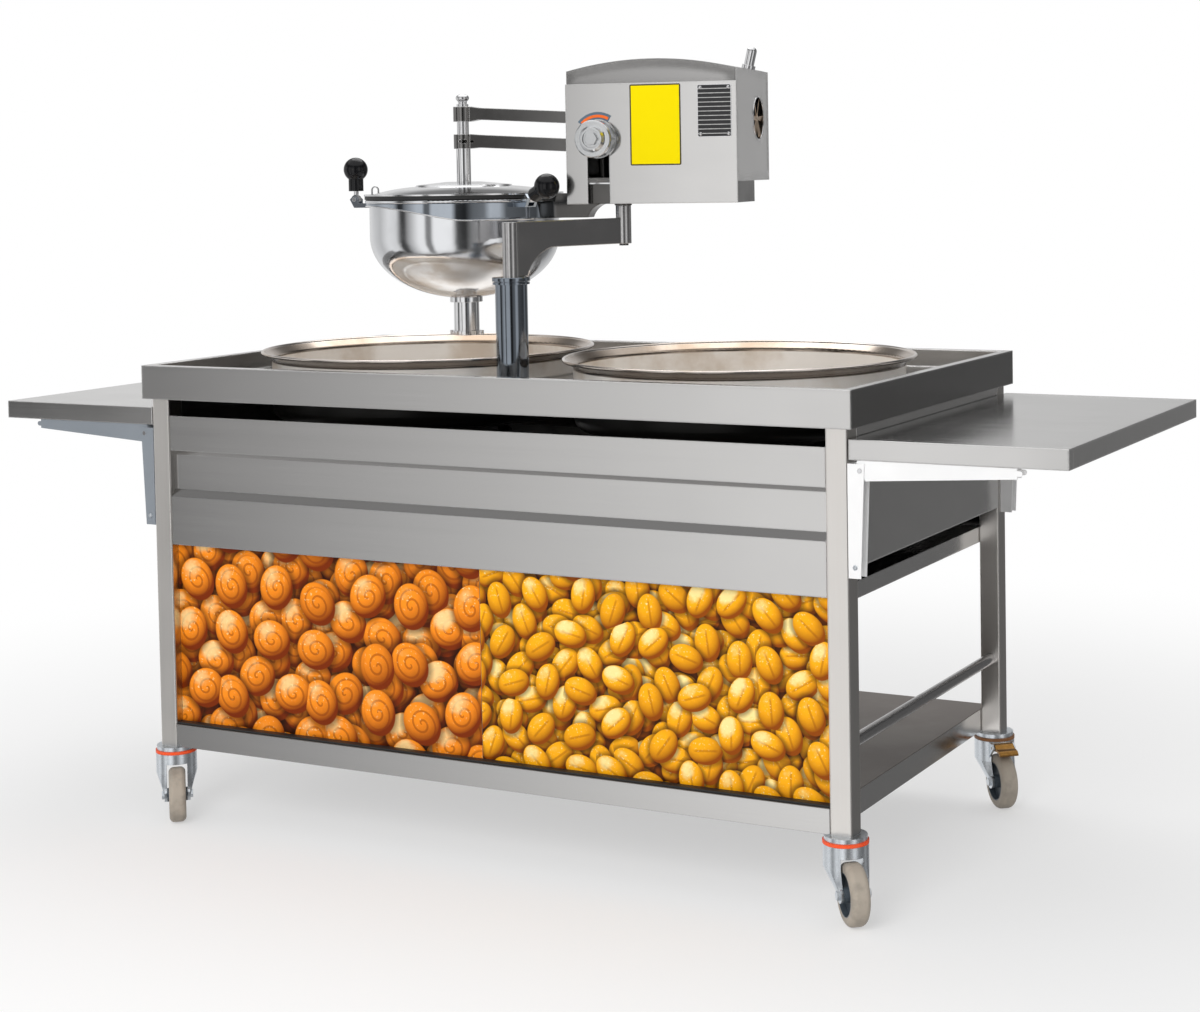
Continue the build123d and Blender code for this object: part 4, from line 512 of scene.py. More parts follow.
# Dust and painted shade: the top is tinted dark grey-brown.
dust_and_shade = blend(smudges["Smudge"], (0.24, 0.215, 0.20), (0.30, 0.275, 0.255))
coat(look, blend(on_top, clean, dust_and_shade), remap(on_top, 0.0, 1.0, 0.18, 0.45))
add_bump(look, streaks["Streak"], 0.02, 0.0003, edge=0.0012)
dress(dusty_shaded_shelf, "lower_shelf")

# %% [markdown]
# ## Spun pans
# The pans were spun from sheet and have been hot, so they carry rings and a straw tint in patches.
# The flange is browner, with painted shade underneath, and its rolled bead gets a painted
# highlight. Under the tray the fire has left soot, and the near black there is also painted shade.
# All of it could be painted on an unwrapped pan. Here the height of a point and the side that it
# faces choose the tint, so both pans share one function.

# %% Spun pans
flange_height, flange_blur = 0.020, 0.001
bead_height, bead_blur = 0.004, 0.0005
tray_recess, soot_and_shade_blur = 0.035, 0.004
tray_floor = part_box("tray")[1][2] - tray_recess
inside_tint, flange_tint = (0.97, 0.93, 0.88), (0.52, 0.44, 0.37)
underside_shade_tint, bead_highlight_tint = (0.10, 0.085, 0.075), (0.80, 0.74, 0.69)
soot_and_shade_tint, heat_tint = (0.012, 0.011, 0.010), (0.66, 0.57, 0.48)


def centred(place, centre, turn=(0.0, 0.0, 0.0)):
    values = {"Vector": place, "Location": centre, "Rotation": turn}
    return fed_node("Mapping", values, vector_type="TEXTURE").outputs["Vector"]


def middle(name):
    low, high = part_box(name)
    return (Vector(low) + Vector(high)) / 2.0


def pan_colour(place, node, height, on_flange):
    on_bead = step_at(height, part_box(node)[1][2] - bead_height, bead_blur)
    below = step_at(height, tray_floor, soot_and_shade_blur, 1.0, 0.0)
    normal = add_node(tree_of(place), "TexCoord").outputs["Normal"]
    outward = vector_step("SUBTRACT", place, (*middle(node).xy, tray_floor))
    outside = remap(vector_step("DOT_PRODUCT", normal, outward), 0.0, 0.01)
    # Painted shade under the flange.
    underside_shade = times(times(outside, on_flange), 0.8)
    tint = blend(on_flange, inside_tint, flange_tint)
    tint = blend(underside_shade, tint, underside_shade_tint)
    # Painted highlight on the rolled bead.
    tint = blend(on_bead, tint, bead_highlight_tint)
    # Soot and painted shade below the tray floor.
    return blend(times(below, outside), tint, soot_and_shade_tint)


def spun_pan(name, node):
    material, look, place = start_material(name, 0.3, metallic=1.0)
    height = axis_value(place, "Z")
    on_flange = step_at(height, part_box(node)[1][2] - flange_height, flange_blur)
    spun_place = centred(place, middle(node))
    ring = use_group(lathe_rings, Vector=spun_place, Density=420.0)["Ring"]
    smudge = use_group(handling_smudges, Vector=place, Size=5.0)["Smudge"]
    tint = pan_colour(place, node, height, on_flange)
    tint = blend(times(smudge, 0.8), tint, heat_tint, mode="MULTIPLY")
    tint = blend(1.0, tint, remap(ring, 0.0, 1.0, 0.94, 1.0), mode="MULTIPLY")
    feed(look["Metallic"], remap(on_flange, 0.0, 1.0, 0.52, 1.0))
    dull = remap(on_flange, 0.0, 1.0, 0.36, 0.14)
    coat(look, tint, calculate("ADD", dull, times(smudge, 0.06)))
    add_bump(look, ring, 0.02, 0.0003, edge=0.001)
    return material


for side in sides:
    dress(spun_pan(f"spun_pan_{side}", f"pan_{side}"), f"pan_{side}")

# %% [markdown]
# ## Polished steel
# Bowl, lid, column and rods are polished: almost a mirror, dulled by smudges and hair scratches.
# What differs is how much of the shop they give back, so the arms, the column and the cast base of
# the head get a darker tint. On the arms, the column, the collar, the swing arm and the mid bars
# the darker tint is painted shade on the same polished steel, and their folds get a painted
# highlight;
# the cast base is dark cast metal. A mirror of plain white would look like porcelain.

# %% Polished pieces
def polished_steel(name, colour, roughness, smudge=0.10, size=14.0, edge=0.001, painted_highlight=0.0):
    material, look, place = start_material(name, roughness, metallic=1.0)
    smudges = use_group(handling_smudges, Vector=place, Size=size)
    tint = blend(smudges["Smudge"], colour, shade(colour, 0.93))
    # Painted highlight on the folds.
    if painted_highlight > 0.0:
        tint = use_group(painted_fold_highlight, Tint=tint, Radius=edge, Strength=painted_highlight)["Tint"]
    coat(look, tint, remap(smudges["Smudge"], 0.0, 1.0, roughness, roughness + smudge))
    add_bump(look, smudges["Scratch"], 0.01, 0.0002, edge)
    return material


mirror_steel = polished_steel("mirror_steel", (0.80, 0.80, 0.81), 0.07)
dress(mirror_steel, "lid", "nozzle", "piston_rod", "cutter_sleeve", "bowl_lever_left",
      "bowl_lever_right", "head_handle", "bracket_pins")
dress(polished_steel("bowl_polish", (0.80, 0.81, 0.83), 0.10, smudge=0.12, size=9.0), "bowl")
# Painted shade: collar, column, arms and bars get darker tints of the same polished steel.
dress(polished_steel("shaded_collar_polish", (0.42, 0.46, 0.51), 0.05, smudge=0.04), "bowl_collar")
dress(polished_steel("shaded_column_polish", (0.24, 0.27, 0.31), 0.05, smudge=0.04), "column")
shaded_arm_polish = polished_steel("shaded_arm_polish", (0.21, 0.205, 0.20), 0.06, smudge=0.06, edge=0.003,
                            painted_highlight=1.0)
dress(shaded_arm_polish, "piston_arm", "cutter_arm")
shaded_polish = polished_steel("shaded_polish", (0.52, 0.51, 0.51), 0.16, edge=0.003, painted_highlight=0.8)
dress(shaded_polish, "swing_arm", "mid_bars")
dress(polished_steel("cast_base", (0.15, 0.145, 0.14), 0.14, edge=0.003), "head_base")

# %% [markdown]
# ## The turned knob
# The dose knob was turned from bar, so fine rings run round its axis. The rings group works
# round the Z axis, and a Mapping node turns the knob's own axis onto it.

# %% Turned knob
knob_turn = head_front.to_track_quat("Z", "Y").to_euler()
turned_knob, look, place = start_material("turned_knob", 0.1, metallic=1.0)
knob_axes = centred(place, knob_place, knob_turn)
ring = use_group(lathe_rings, Vector=knob_axes, Density=1600.0)["Ring"]
tint = blend(ring, (0.62, 0.63, 0.64), (0.90, 0.91, 0.92))
coat(look, tint, remap(ring, 0.0, 1.0, 0.08, 0.18))
add_bump(look, ring, 0.06, 0.0002, edge=0.0015)
dress(turned_knob, "dose_knob")

# %% [markdown]
# ## Paint, plastic and rubber
# The shelf brackets are powder coated white, with the fine orange peel of that paint; on the left
# shelf painted shade makes them grey. Ball knobs, gasket, castings and burners differ from it only
# in colour, gloss and size of grain, so one function serves them all.

# %% Powder paint and plastics
def grained_paint(name, colour, roughness, fine, relief, variation=0.08, specular=0.5):
    material, look, place = start_material(name, roughness)
    feed(look["Specular IOR Level"], specular)
    paint = use_group(paint_grain, Vector=place, Fine=fine)
    dull = remap(paint["Cloud"], 0.3, 0.7, roughness - 0.04, roughness + 0.06)
    coat(look, two_tone(paint["Cloud"], colour, variation), dull)
    add_bump(look, paint["Grain"], relief, 0.0004)
    return material


dress(grained_paint("white_powder_paint", (0.82, 0.82, 0.82), 0.32, 700.0, 0.10),
      "shelf_arms_right")
# Painted shade: the left brackets get a grey tint of the white paint.
dress(grained_paint("shaded_powder_paint", (0.235, 0.26, 0.29), 0.32, 700.0, 0.10),
      "shelf_arms_left")
dress(grained_paint("black_knob", (0.006, 0.006, 0.007), 0.12, 300.0, 0.004, 0.2, specular=0.3),
      "lever_knob_left", "lever_knob_right")
dress(grained_paint("dark_cast_alloy", (0.12, 0.12, 0.125), 0.5, 500.0, 0.3, 0.15),
      "gearbox", "motor", "drive_crank")
dress(grained_paint("burner_iron", (0.035, 0.033, 0.032), 0.7, 400.0, 0.5, 0.3), "burners")
black_rubber = grained_paint("black_rubber", (0.02, 0.02, 0.02), 0.55, 900.0, 0.15, 0.3)
dress(black_rubber, "gasket")

# %% [markdown]
# ## The gas pipe and the bracket channels
# The gas pipe is yellow behind the cart and near black inside it. The four channels of the
# brackets are one mesh, white, with painted shade making the left ones grey. In both, a
# coordinate of the point picks one of two paints, so no mesh has to be cut.

# %% Gas pipe, near black inside the cart
pipe_blur = 0.002
rear_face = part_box("rear_panel")[1][1]
pipe_paint, look, place = start_material("pipe_paint", 0.4)
outdoors = step_at(axis_value(place, "Y"), rear_face - pipe_blur, pipe_blur)
paint = use_group(paint_grain, Vector=place, Fine=600.0, Coarse=30.0)
clean = blend(paint["Cloud"], (0.57, 0.42, 0.07), (0.67, 0.50, 0.09))
# Near black inside the cart, yellow behind it.
inner_near_black = blend(paint["Cloud"], (0.02, 0.016, 0.010), (0.04, 0.03, 0.016))
coat(look, blend(outdoors, inner_near_black, clean), remap(outdoors, 0.0, 1.0, 0.7, 0.4))
add_bump(look, paint["Grain"], 0.1, 0.0004)
dress(pipe_paint, "gas_pipe")

# %% Bracket channels, white, with painted shade grey on the left
channel_paint, look, place = start_material("channel_powder_paint", 0.32)
on_right = step_at(axis_value(place, "X"), 0.0, 0.1)
paint = use_group(paint_grain, Vector=place, Fine=700.0)
# Painted shade: the left channels are tinted grey.
left_shade_tint = blend(paint["Cloud"], (0.215, 0.24, 0.27), (0.255, 0.28, 0.31))
white_tint = blend(paint["Cloud"], grey(0.76), grey(0.88))
dull = remap(paint["Cloud"], 0.3, 0.7, 0.28, 0.38)
coat(look, blend(on_right, left_shade_tint, white_tint), dull)
add_bump(look, paint["Grain"], 0.10, 0.0004)
dress(channel_paint, "bracket_channels")

# %% [markdown]
# ## Zinc, bronze and seal rings
# The caster forks are zinc plated, the brake pedals and the fan have a bronze tint. All three show
# the flakes of a plated surface. A rubber ring seals each caster, orange in front and darker brown
# at the rear.

# %% Zinc and bronze
def flaked_metal(name, light, dark, roughness):
    material, look, place = start_material(name, roughness, metallic=1.0)
    flakes = use_group(metal_flakes, Vector=place)
    dull = remap(flakes["Gloss"], 0.0, 1.0, roughness - 0.03, roughness + 0.05)
    coat(look, blend(flakes["Tint"], light, dark), dull)
    add_bump(look, flakes["Wave"], 0.05, 0.0005, edge=0.0012)
    return material


zinc = flaked_metal("zinc_plate", (0.84, 0.88, 0.92), (0.77, 0.82, 0.87), 0.30)
dress(zinc, "caster_sockets", *[f"caster_fork_{corner}" for corner in corners])
bronze = flaked_metal("bronze_plate", (0.36, 0.19, 0.05), (0.26, 0.13, 0.035), 0.20)
dress(bronze, "brake_pedal_left", "brake_pedal_right")
fan_bronze = flaked_metal("fan_bronze", (0.84, 0.68, 0.53), (0.76, 0.59, 0.44), 0.38)
dress(fan_bronze, "fan")

# %% Seal rings
seal_ring, look, place = start_material("seal_ring", 0.42)
at_rear = step_at(axis_value(place, "Y"), 0.0, 0.1)
ring_tint = blend(at_rear, (1.0, 0.085, 0.008), (0.26, 0.11, 0.035))
dust = noise(place, 60.0, detail=4.0)
dusted = remap(dust, 0.4, 0.9, 0.0, 0.4)
feed(look["Base Color"], blend(dusted, ring_tint, (0.42, 0.2, 0.1)))
add_bump(look, dust, 0.05, 0.0005)
dress(seal_ring, "caster_seals")

# %% [markdown]
# ## Wheels
# Each wheel has a grey rubber tyre on a dark centre, and is one solid. The distance from the axle
# separates the two. Every wheel gets its own material, because each has its own axle.

# %% Wheels
tyre_edge_radius, tyre_edge_blur = 0.0365, 0.0004


def wheel_rubber(corner):
    axle = joints[f"roll_{corner}"]
    turn = Vector(axle["axis"]).to_track_quat("Z", "Y").to_euler()
    material, look, place = start_material(f"wheel_{corner}", 0.5)
    rings = use_group(lathe_rings, Vector=centred(place, axle["pos_m"], turn), Density=500.0)
    smudge = use_group(handling_smudges, Vector=place, Size=35.0)["Smudge"]
    on_tyre = step_at(rings["Radius"], tyre_edge_radius, tyre_edge_blur)
    tyre = blend(smudge, (0.44, 0.385, 0.32), (0.35, 0.31, 0.26))
    centre = blend(rings["Ring"], (0.05, 0.065, 0.08), (0.10, 0.12, 0.14))
    coat(look, blend(on_tyre, centre, tyre), remap(on_tyre, 0.0, 1.0, 0.35, 0.55))
    grain = use_group(paint_grain, Vector=place, Fine=420.0)["Grain"]
    add_bump(look, grain, 0.12, 0.0005)
    return material


for corner in corners:
    dress(wheel_rubber(corner), f"caster_wheel_{corner}")

# %% [markdown]
# ## Printed front panels
# The two panels under the fascia carry a printed picture of a heap of pastries. A picture file
# would tie the lesson to a disk, so nodes work out the heap: a layer of scattered pieces, each
# shaded like a little dome, is laid six times over itself with the gaps in shadow. The left panel
# shows glazed rolls with a spiral, the right one slim golden bites with a slit. A node group holds
# the layer, because both panels use it.

# %% Scatter the pastries
scatter = 0.48
layer, given, result = start_group(
    "pastry_layer",
    dict(Vector=zero, Shift=zero, Pitch=10.0, Shape=(0.46, 0.4, 1.0), Spiral=0.0, Slit=0.0,
         Below=plain, Deep=plain, Crust=plain, Glaze=plain),
    dict(Above=plain))


def spin_by(vector, angle):
    values = {"Vector": vector, "Angle": angle}
    return fed_node("VectorRotate", values, rotation_type="Z_AXIS").outputs["Vector"]


scaled = vector_step("MULTIPLY", given["Vector"], given["Pitch"])
spot = vector_step("ADD", scaled, given["Shift"])
values = {"Vector": spot, "Scale": 1.0, "Randomness": scatter}
cells = fed_node("TexVoronoi", values, voronoi_dimensions="2D").outputs
chance = fed_node("SeparateColor", [cells["Color"]]).outputs
angle = times(chance["Red"], 2.0 * pi)
offset = vector_step("SUBTRACT", spot, cells["Position"])
on_piece = vector_step("DIVIDE", spin_by(offset, angle), given["Shape"])
flat_place = vector_step("MULTIPLY", on_piece, (1.0, 1.0, 0.0))
reach = vector_step("LENGTH", flat_place)
inside = remap(reach, 0.97, 1.01, 1.0, 0.0)
print("scatter nodes:", len(layer.nodes))

# %% [markdown]
# ### The dome of one pastry and its marks
# Each piece is lit as if it were round: its height follows from the distance to its middle, as on
# a sphere, and gives a normal that meets a painted light. An arc tangent that grows with the
# distance winds into a spiral, and the distance from the long axis gives a slit.

# %% Light on the dome
painted_light = (-0.34, 0.55, 0.76)
spiral_pitch = 15.0
drop = calculate("SUBTRACT", 1.0, calculate("POWER", reach, 2.0))
rise = calculate("SQRT", calculate("MAXIMUM", drop, 0.0))
across, along = axis_value(flat_place, "X"), axis_value(flat_place, "Y")
upright = fed_node("CombineXYZ", (across, along, rise)).outputs[0]
facing = spin_by(upright, times(angle, -1.0))
light = calculate("MAXIMUM", vector_step("DOT_PRODUCT", facing, painted_light), 0.0)

winding = calculate("ADD", calculate("ARCTAN2", along, across), times(reach, spiral_pitch))
curl = remap(calculate("SINE", winding), 0.45, 0.95, smooth=True)
curl = times(curl, remap(reach, 0.70, 0.86, 1.0, 0.0))
slit = remap(calculate("ABSOLUTE", along), 0.03, 0.13, 1.0, 0.0, smooth=True)
slit = times(slit, remap(reach, 0.55, 0.75, 1.0, 0.0))
groove = calculate("MAXIMUM", times(curl, given["Spiral"]), times(slit, given["Slit"]))
print("dome nodes:", len(layer.nodes))

# %% [markdown]
# ### The colours of one layer
# Deep brown, crust and glaze follow the light, with a mottle and small glints on top. Round each
# piece the layer below falls into shadow, which is what makes a flat print look like a heap.

# %% Colours of the layer
contact_tint = (0.012, 0.004, 0.001)
mottle = noise(spot, 9.0, detail=4.0)
lit = times(light, remap(chance["Green"], 0.0, 1.0, 0.72, 1.12))
lit = times(lit, remap(mottle, 0.3, 0.7, 0.93, 1.05))
body = blend(remap(lit, 0.0, 0.70), given["Deep"], given["Crust"])
body = blend(times(groove, 0.65), body, given["Deep"])
sheen = remap(lit, 0.74, 1.02, 0.0, 0.8, smooth=True)
body = blend(sheen, body, given["Glaze"])
glint = remap(noise(spot, 17.0, detail=1.0), 0.63, 0.70, 0.0, 0.8, smooth=True)
body = blend(times(glint, remap(lit, 0.5, 0.8)), body, given["Glaze"])
contact = remap(reach, 1.0, 1.40, 0.60, 0.0, smooth=True)
below = blend(contact, given["Below"], contact_tint)
feed(result["Above"], blend(inside, below, body))
print("pastry_layer nodes:", len(layer.nodes))

# %% The two printed panels
layer_shifts = ((0.3, 0.1, 0.0), (3.8, 7.45, 0.0), (11.25, 2.6, 0.0),
                (17.6, 13.9, 0.0), (23.1, 5.35, 0.0), (29.55, 9.75, 0.0))
print_depth, print_blur, back_tint = 0.0005, 0.0001, (0.45, 0.44, 0.43)
front_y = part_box("print_panel_left")[0][1]


def printed_panel(name, deep, crust, glaze, **motif):
    material, look, place = start_material(name, 0.34)
    feed(look["Specular IOR Level"], 0.15)
    flat_axes = (axis_value(place, "X"), axis_value(place, "Z"))
    flat = fed_node("CombineXYZ", flat_axes).outputs[0]
    heap = deep
    for shift in layer_shifts:
        heap = use_group(layer, Vector=flat, Shift=shift, Below=heap,
                         Deep=deep, Crust=crust, Glaze=glaze, **motif)["Above"]
    behind = step_at(axis_value(place, "Y"), front_y + print_depth, print_blur)
    feed(look["Base Color"], blend(behind, heap, back_tint))
    add_bump(look, noise(place, 900.0, detail=1.0), 0.03, 0.0002)
    return material


rolls = printed_panel("printed_rolls", (0.20, 0.026, 0.001), (1.0, 0.29, 0.013),
                      (1.0, 0.74, 0.34), Pitch=9.6, Shape=(0.42, 0.37, 1.0), Spiral=0.8)
bites = printed_panel("printed_bites", (0.28, 0.06, 0.001), (1.0, 0.44, 0.006),
                      (1.0, 0.88, 0.40), Pitch=13.0, Shape=(0.44, 0.32, 1.0), Slit=0.7)
dress(rolls, "print_panel_left")
dress(bites, "print_panel_right")

# %% [markdown]
# ## Plates on the head
# The front of the head carries a yellow plate with a dark border and a small data plate held by
# four rivets. Boxes would do, but thin sheet starts better as one flat face: its corners are
# bevelled, its border is an inset, and an extrusion gives it thickness. The yellow plate is plain,
# and the data plate has ruled rows. A rivet is a flattened sphere, cut in half and closed.

# %% Mesh helpers
up = Vector((0.0, 0.0, 1.0))
head_right = (-head_front).cross(up)
sharp_angle = radians(35.0)


def settle(bm, name, body, slot, *materials):
    bmesh.ops.remove_doubles(bm, verts=bm.verts, dist=1e-6)
    bmesh.ops.recalc_face_normals(bm, faces=bm.faces)
    mesh = bpy.data.meshes.new(name)
    bm.to_mesh(mesh)
    bm.free()
    mesh.shade_smooth()
    mesh.set_sharp_from_angle(angle=sharp_angle)
    for material in materials:
        mesh.materials.append(material)
    piece = bpy.data.objects.new(name, mesh)
    bpy.context.collection.objects.link(piece)
    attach(piece, body)
    print(name, "rides on", body, "with", len(mesh.polygons), "faces")


def place_on_head(bm, right, rise):
    origin = knob_place + right * head_right + rise * up
    turn = Matrix((head_right, up, head_front)).transposed().to_4x4()
    bmesh.ops.transform(bm, matrix=Matrix.Translation(origin) @ turn, verts=bm.verts)


def thicken(bm, faces, thickness):
    raised = bmesh.ops.extrude_face_region(bm, geom=faces)["geom"]
    top = [item for item in raised if isinstance(item, bmesh.types.BMVert)]
    bmesh.ops.translate(bm, vec=(0.0, 0.0, thickness), verts=top)
    return top


def bordered_plate(width, height, thickness, corner, border):
    bm = bmesh.new()
    bmesh.ops.create_grid(bm, x_segments=1, y_segments=1, size=0.5)
    bmesh.ops.scale(bm, vec=(width, height, 1.0), verts=bm.verts)
    bmesh.ops.bevel(bm, geom=bm.verts[:], offset=corner, affect="VERTICES", segments=4,
                    profile=0.5, material=-1)
    rim = bmesh.ops.inset_region(bm, faces=bm.faces[:], thickness=border, use_boundary=True,
                                 use_even_offset=True)["faces"]
    for face in rim:
        face.material_index = 1
    thicken(bm, bm.faces[:], thickness)
    return bm


def add_dome(bm, place, radius, height, material_index=0):
    made = bmesh.ops.create_uvsphere(bm, u_segments=20, v_segments=10, radius=radius)["verts"]
    bmesh.ops.scale(bm, vec=(1.0, 1.0, height / radius), verts=made)
    faces = list({face for vert in made for face in vert.link_faces})
    edges = list({edge for vert in made for edge in vert.link_edges})
    for face in faces:
        face.material_index = material_index
    cut = bmesh.ops.bisect_plane(bm, geom=made + edges + faces, plane_co=(0, 0, 0),
                                 plane_no=(0, 0, -1), clear_outer=True)
    kept = [item for item in cut["geom"]
            if isinstance(item, bmesh.types.BMVert) and item.is_valid]
    foot = [item for item in cut["geom_cut"] if isinstance(item, bmesh.types.BMEdge)]
    for face in bmesh.ops.edgeloop_fill(bm, edges=foot)["faces"]:
        face.material_index = material_index
    bmesh.ops.transform(bm, matrix=place, verts=kept)


print("mesh helpers ready")

# %% Yellow plate
yellow_width, yellow_height, yellow_right, yellow_rise = 0.101, 0.155, 0.1155, 0.0255
yellow_sheet, yellow_corner, yellow_border = 0.0006, 0.003, 0.0026

yellow_enamel = grained_paint("yellow_enamel", (0.90, 0.72, 0.001), 0.6, 900.0, 0.02,
                              variation=0.03, specular=0.08)
dark_border = grained_paint("dark_border", (0.045, 0.035, 0.01), 0.45, 900.0, 0.02)
bm = bordered_plate(yellow_width, yellow_height, yellow_sheet, yellow_corner, yellow_border)
place_on_head(bm, yellow_right, yellow_rise)
settle(bm, "yellow_plate", "head", "sheet_steel", yellow_enamel, dark_border)

# %% Data plate
data_width, data_height, data_right, data_rise = 0.067, 0.100, 0.2325, 0.050
data_sheet, data_corner, data_border = 0.0008, 0.004, 0.0012
rivet_radius, rivet_height, rivet_inset = 0.0035, 0.0018, 0.006
row_pitch = 0.0085

ruled_plate, look, place = start_material("ruled_plate", 0.35)
rows = calculate("DIVIDE", axis_value(place, "Z"), row_pitch)
from_rule = calculate("SUBTRACT", calculate("FRACT", rows), 0.5)
rule = remap(calculate("ABSOLUTE", from_rule), 0.06, 0.10, 1.0, 0.0)
worn = remap(noise(place, 140.0, detail=3.0), 0.35, 0.65, 0.75, 1.0)
ink = blend(times(rule, worn), (0.016, 0.016, 0.017), (0.55, 0.55, 0.54))
feed(look["Base Color"], ink)
add_bump(look, rule, 0.1, 0.0002)
bm = bordered_plate(data_width, data_height, data_sheet, data_corner, data_border)
for side in (-1, 1):
    for end in (-1, 1):
        spot = Matrix.Translation((side * (data_width / 2 - rivet_inset),
                                   end * (data_height / 2 - rivet_inset), data_sheet))
        add_dome(bm, spot, rivet_radius, rivet_height, material_index=1)
place_on_head(bm, data_right, data_rise)
settle(bm, "data_plate", "head", "sheet_steel", ruled_plate, mirror_steel)

# %% [markdown]
# ## The dose scale
# A curved scale above the knob shows the dose: a blue arc with an orange band on it. It could be
# cut out of a ring, but a small rectangle spun through the angle of the scale is a closed band at
# once. A second, thinner one sits on the first.

# %% Dose scale
scale_inner, scale_outer, scale_sheet = 0.038, 0.052, 0.0006
band_inner, band_outer, band_top = 0.0415, 0.0468, 0.0011
scale_start, scale_end, band_margin = radians(58.0), radians(140.0), 0.06


def arc_band(bm, inner, outer, low, high, start, end, material_index):
    outline = ((inner, low), (outer, low), (outer, high), (inner, high))
    verts = [bm.verts.new((across, 0.0, out)) for across, out in outline]
    face = bm.faces.new(verts)
    bmesh.ops.rotate(bm, cent=(0, 0, 0), matrix=Matrix.Rotation(start, 3, "Z"), verts=verts)
    before = set(bm.faces)
    bmesh.ops.spin(bm, geom=[face, *face.edges, *verts], cent=(0, 0, 0), axis=(0, 0, 1),
                   angle=end - start, steps=28)
    for made in [face, *(set(bm.faces) - before)]:
        made.material_index = material_index


orange_band = grained_paint("orange_band", (0.95, 0.16, 0.015), 0.4, 900.0, 0.02)
slot_blue = grained_paint("slot_blue", (0.10, 0.15, 0.20), 0.35, 900.0, 0.02)
bm = bmesh.new()
arc_band(bm, scale_inner, scale_outer, 0.0, scale_sheet, scale_start, scale_end, 0)
arc_band(bm, band_inner, band_outer, scale_sheet, band_top,
         scale_start + band_margin, scale_end - band_margin, 1)
place_on_head(bm, 0.0, 0.0)
settle(bm, "dose_scale", "head", "sheet_steel", slot_blue, orange_band)

# %% [markdown]
# ## Small trim
# A thin bright bar crosses the notch under the knob, a dark strip of painted shade fills the foot
# of the printed panels, and a pan-head screw holds the foot of each shelf bracket. They are too
# small to change a size, but the eye misses them at once. Bars are bevelled boxes, because a sharp
# edge would catch no light.

# %% Notch bar and strip of painted shade
half_width, half_height, bar_rise = 0.0215, 0.003, -0.084
bar_back, bar_front, bar_bevel = -0.012, -0.004, 0.0008
strip_lap, strip_height, strip_bevel = 0.002, 0.004, 0.001


def bevelled_bar(bm, low, high, bevel):
    made = bmesh.ops.create_cube(bm, size=1.0)["verts"]
    bmesh.ops.scale(bm, vec=Vector(high) - Vector(low), verts=made)
    bmesh.ops.translate(bm, vec=(Vector(low) + Vector(high)) / 2, verts=made)
    edges = list({edge for vert in made for edge in vert.link_edges})
    bmesh.ops.bevel(bm, geom=edges, offset=bevel, affect="EDGES", segments=2, profile=0.5,
                    material=-1)


bm = bmesh.new()
bevelled_bar(bm, (-half_width, -half_height, bar_back),
             (half_width, half_height, bar_front), bar_bevel)
place_on_head(bm, 0.0, bar_rise)
settle(bm, "notch_bar", "head", "sheet_steel", mirror_steel)

strip_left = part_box("print_panel_left")[0][0]
strip_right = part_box("print_panel_right")[1][0]
strip_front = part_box("lower_shelf")[0][1] + strip_lap
# Painted shade: a black strip where the shelf top lies in shadow at the foot of the prints.
bm = bmesh.new()
bevelled_bar(bm, (strip_left, strip_front, shelf_top),
             (strip_right, front_y, shelf_top + strip_height), strip_bevel)
settle(bm, "shade_strip", "cart", "seal", black_rubber)

# %% Bracket screws
screw_radius, screw_height = 0.0045, 0.0022
screw_lift, screw_out = 0.018, 0.012

bracket_low, bracket_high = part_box("bracket_channels")
screw_rise = bracket_low[2] + screw_lift
screw_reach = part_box("leg_front_right")[1][0] + screw_out
bm = bmesh.new()
for side in (-1, 1):
    for end, face_y in ((-1, bracket_low[1]), (1, bracket_high[1])):
        turn = Matrix.Rotation(radians(90.0) * -end, 4, "X")
        spot = Matrix.Translation((side * screw_reach, face_y, screw_rise)) @ turn
        add_dome(bm, spot, screw_radius, screw_height)
settle(bm, "bracket_screws", "cart", "zinc", zinc)

# %% [markdown]
# ## The guard in the vent
# A pressed rim stiffens the vent in the side of the cover, and twisted spokes keep fingers off the
# fan. The guard could be placed by hand, but the solids know where it goes: the fan's axis gives
# the centre, and the cover's points give the face and the radius of the hole. One function
# builds a spoke and turns it to its angle.

# %% Find the vent
vent_zone, face_margin = 0.060, 0.0002
fan_place = Vector(joints["fan_spin"]["pos_m"])
fan_axis = Vector(joints["fan_spin"]["axis"]).normalized()
edge_points = []
for vert in nodes["head_cover"].data.vertices:
    out = vert.co - fan_place
    along = out.dot(fan_axis)
    away = (out - along * fan_axis).length
    if away < vent_zone:
        edge_points.append((along, away))
vent_face = max(along for along, away in edge_points)
vent_radius = min(away for along, away in edge_points if along > vent_face - face_margin)
print("vent", round(vent_radius, 4), "m, face", round(vent_face, 4), "m from the fan")

# %% Vent guard
guard_spokes, guard_depth, rim_radius = 6, 0.004, 0.0014
spoke_sheet, spoke_twist = 0.0012, radians(15.0)
spoke_root, spoke_tip = 0.0025, 0.0060
hub_radius, hub_taper, hub_depth = 0.009, 0.7, 0.004


def wire_ring(ring_radius, wire_radius, steps):
    bm = bmesh.new()
    bmesh.ops.create_circle(bm, segments=8, radius=wire_radius)
    upright = Matrix.Rotation(radians(90.0), 3, "X")
    bmesh.ops.rotate(bm, cent=(0, 0, 0), matrix=upright, verts=bm.verts)
    bmesh.ops.translate(bm, vec=(ring_radius, 0.0, 0.0), verts=bm.verts)
    bmesh.ops.spin(bm, geom=bm.verts[:] + bm.edges[:], cent=(0, 0, 0), axis=(0, 0, 1),
                   angle=2.0 * pi, steps=steps, use_merge=True)
    return bm


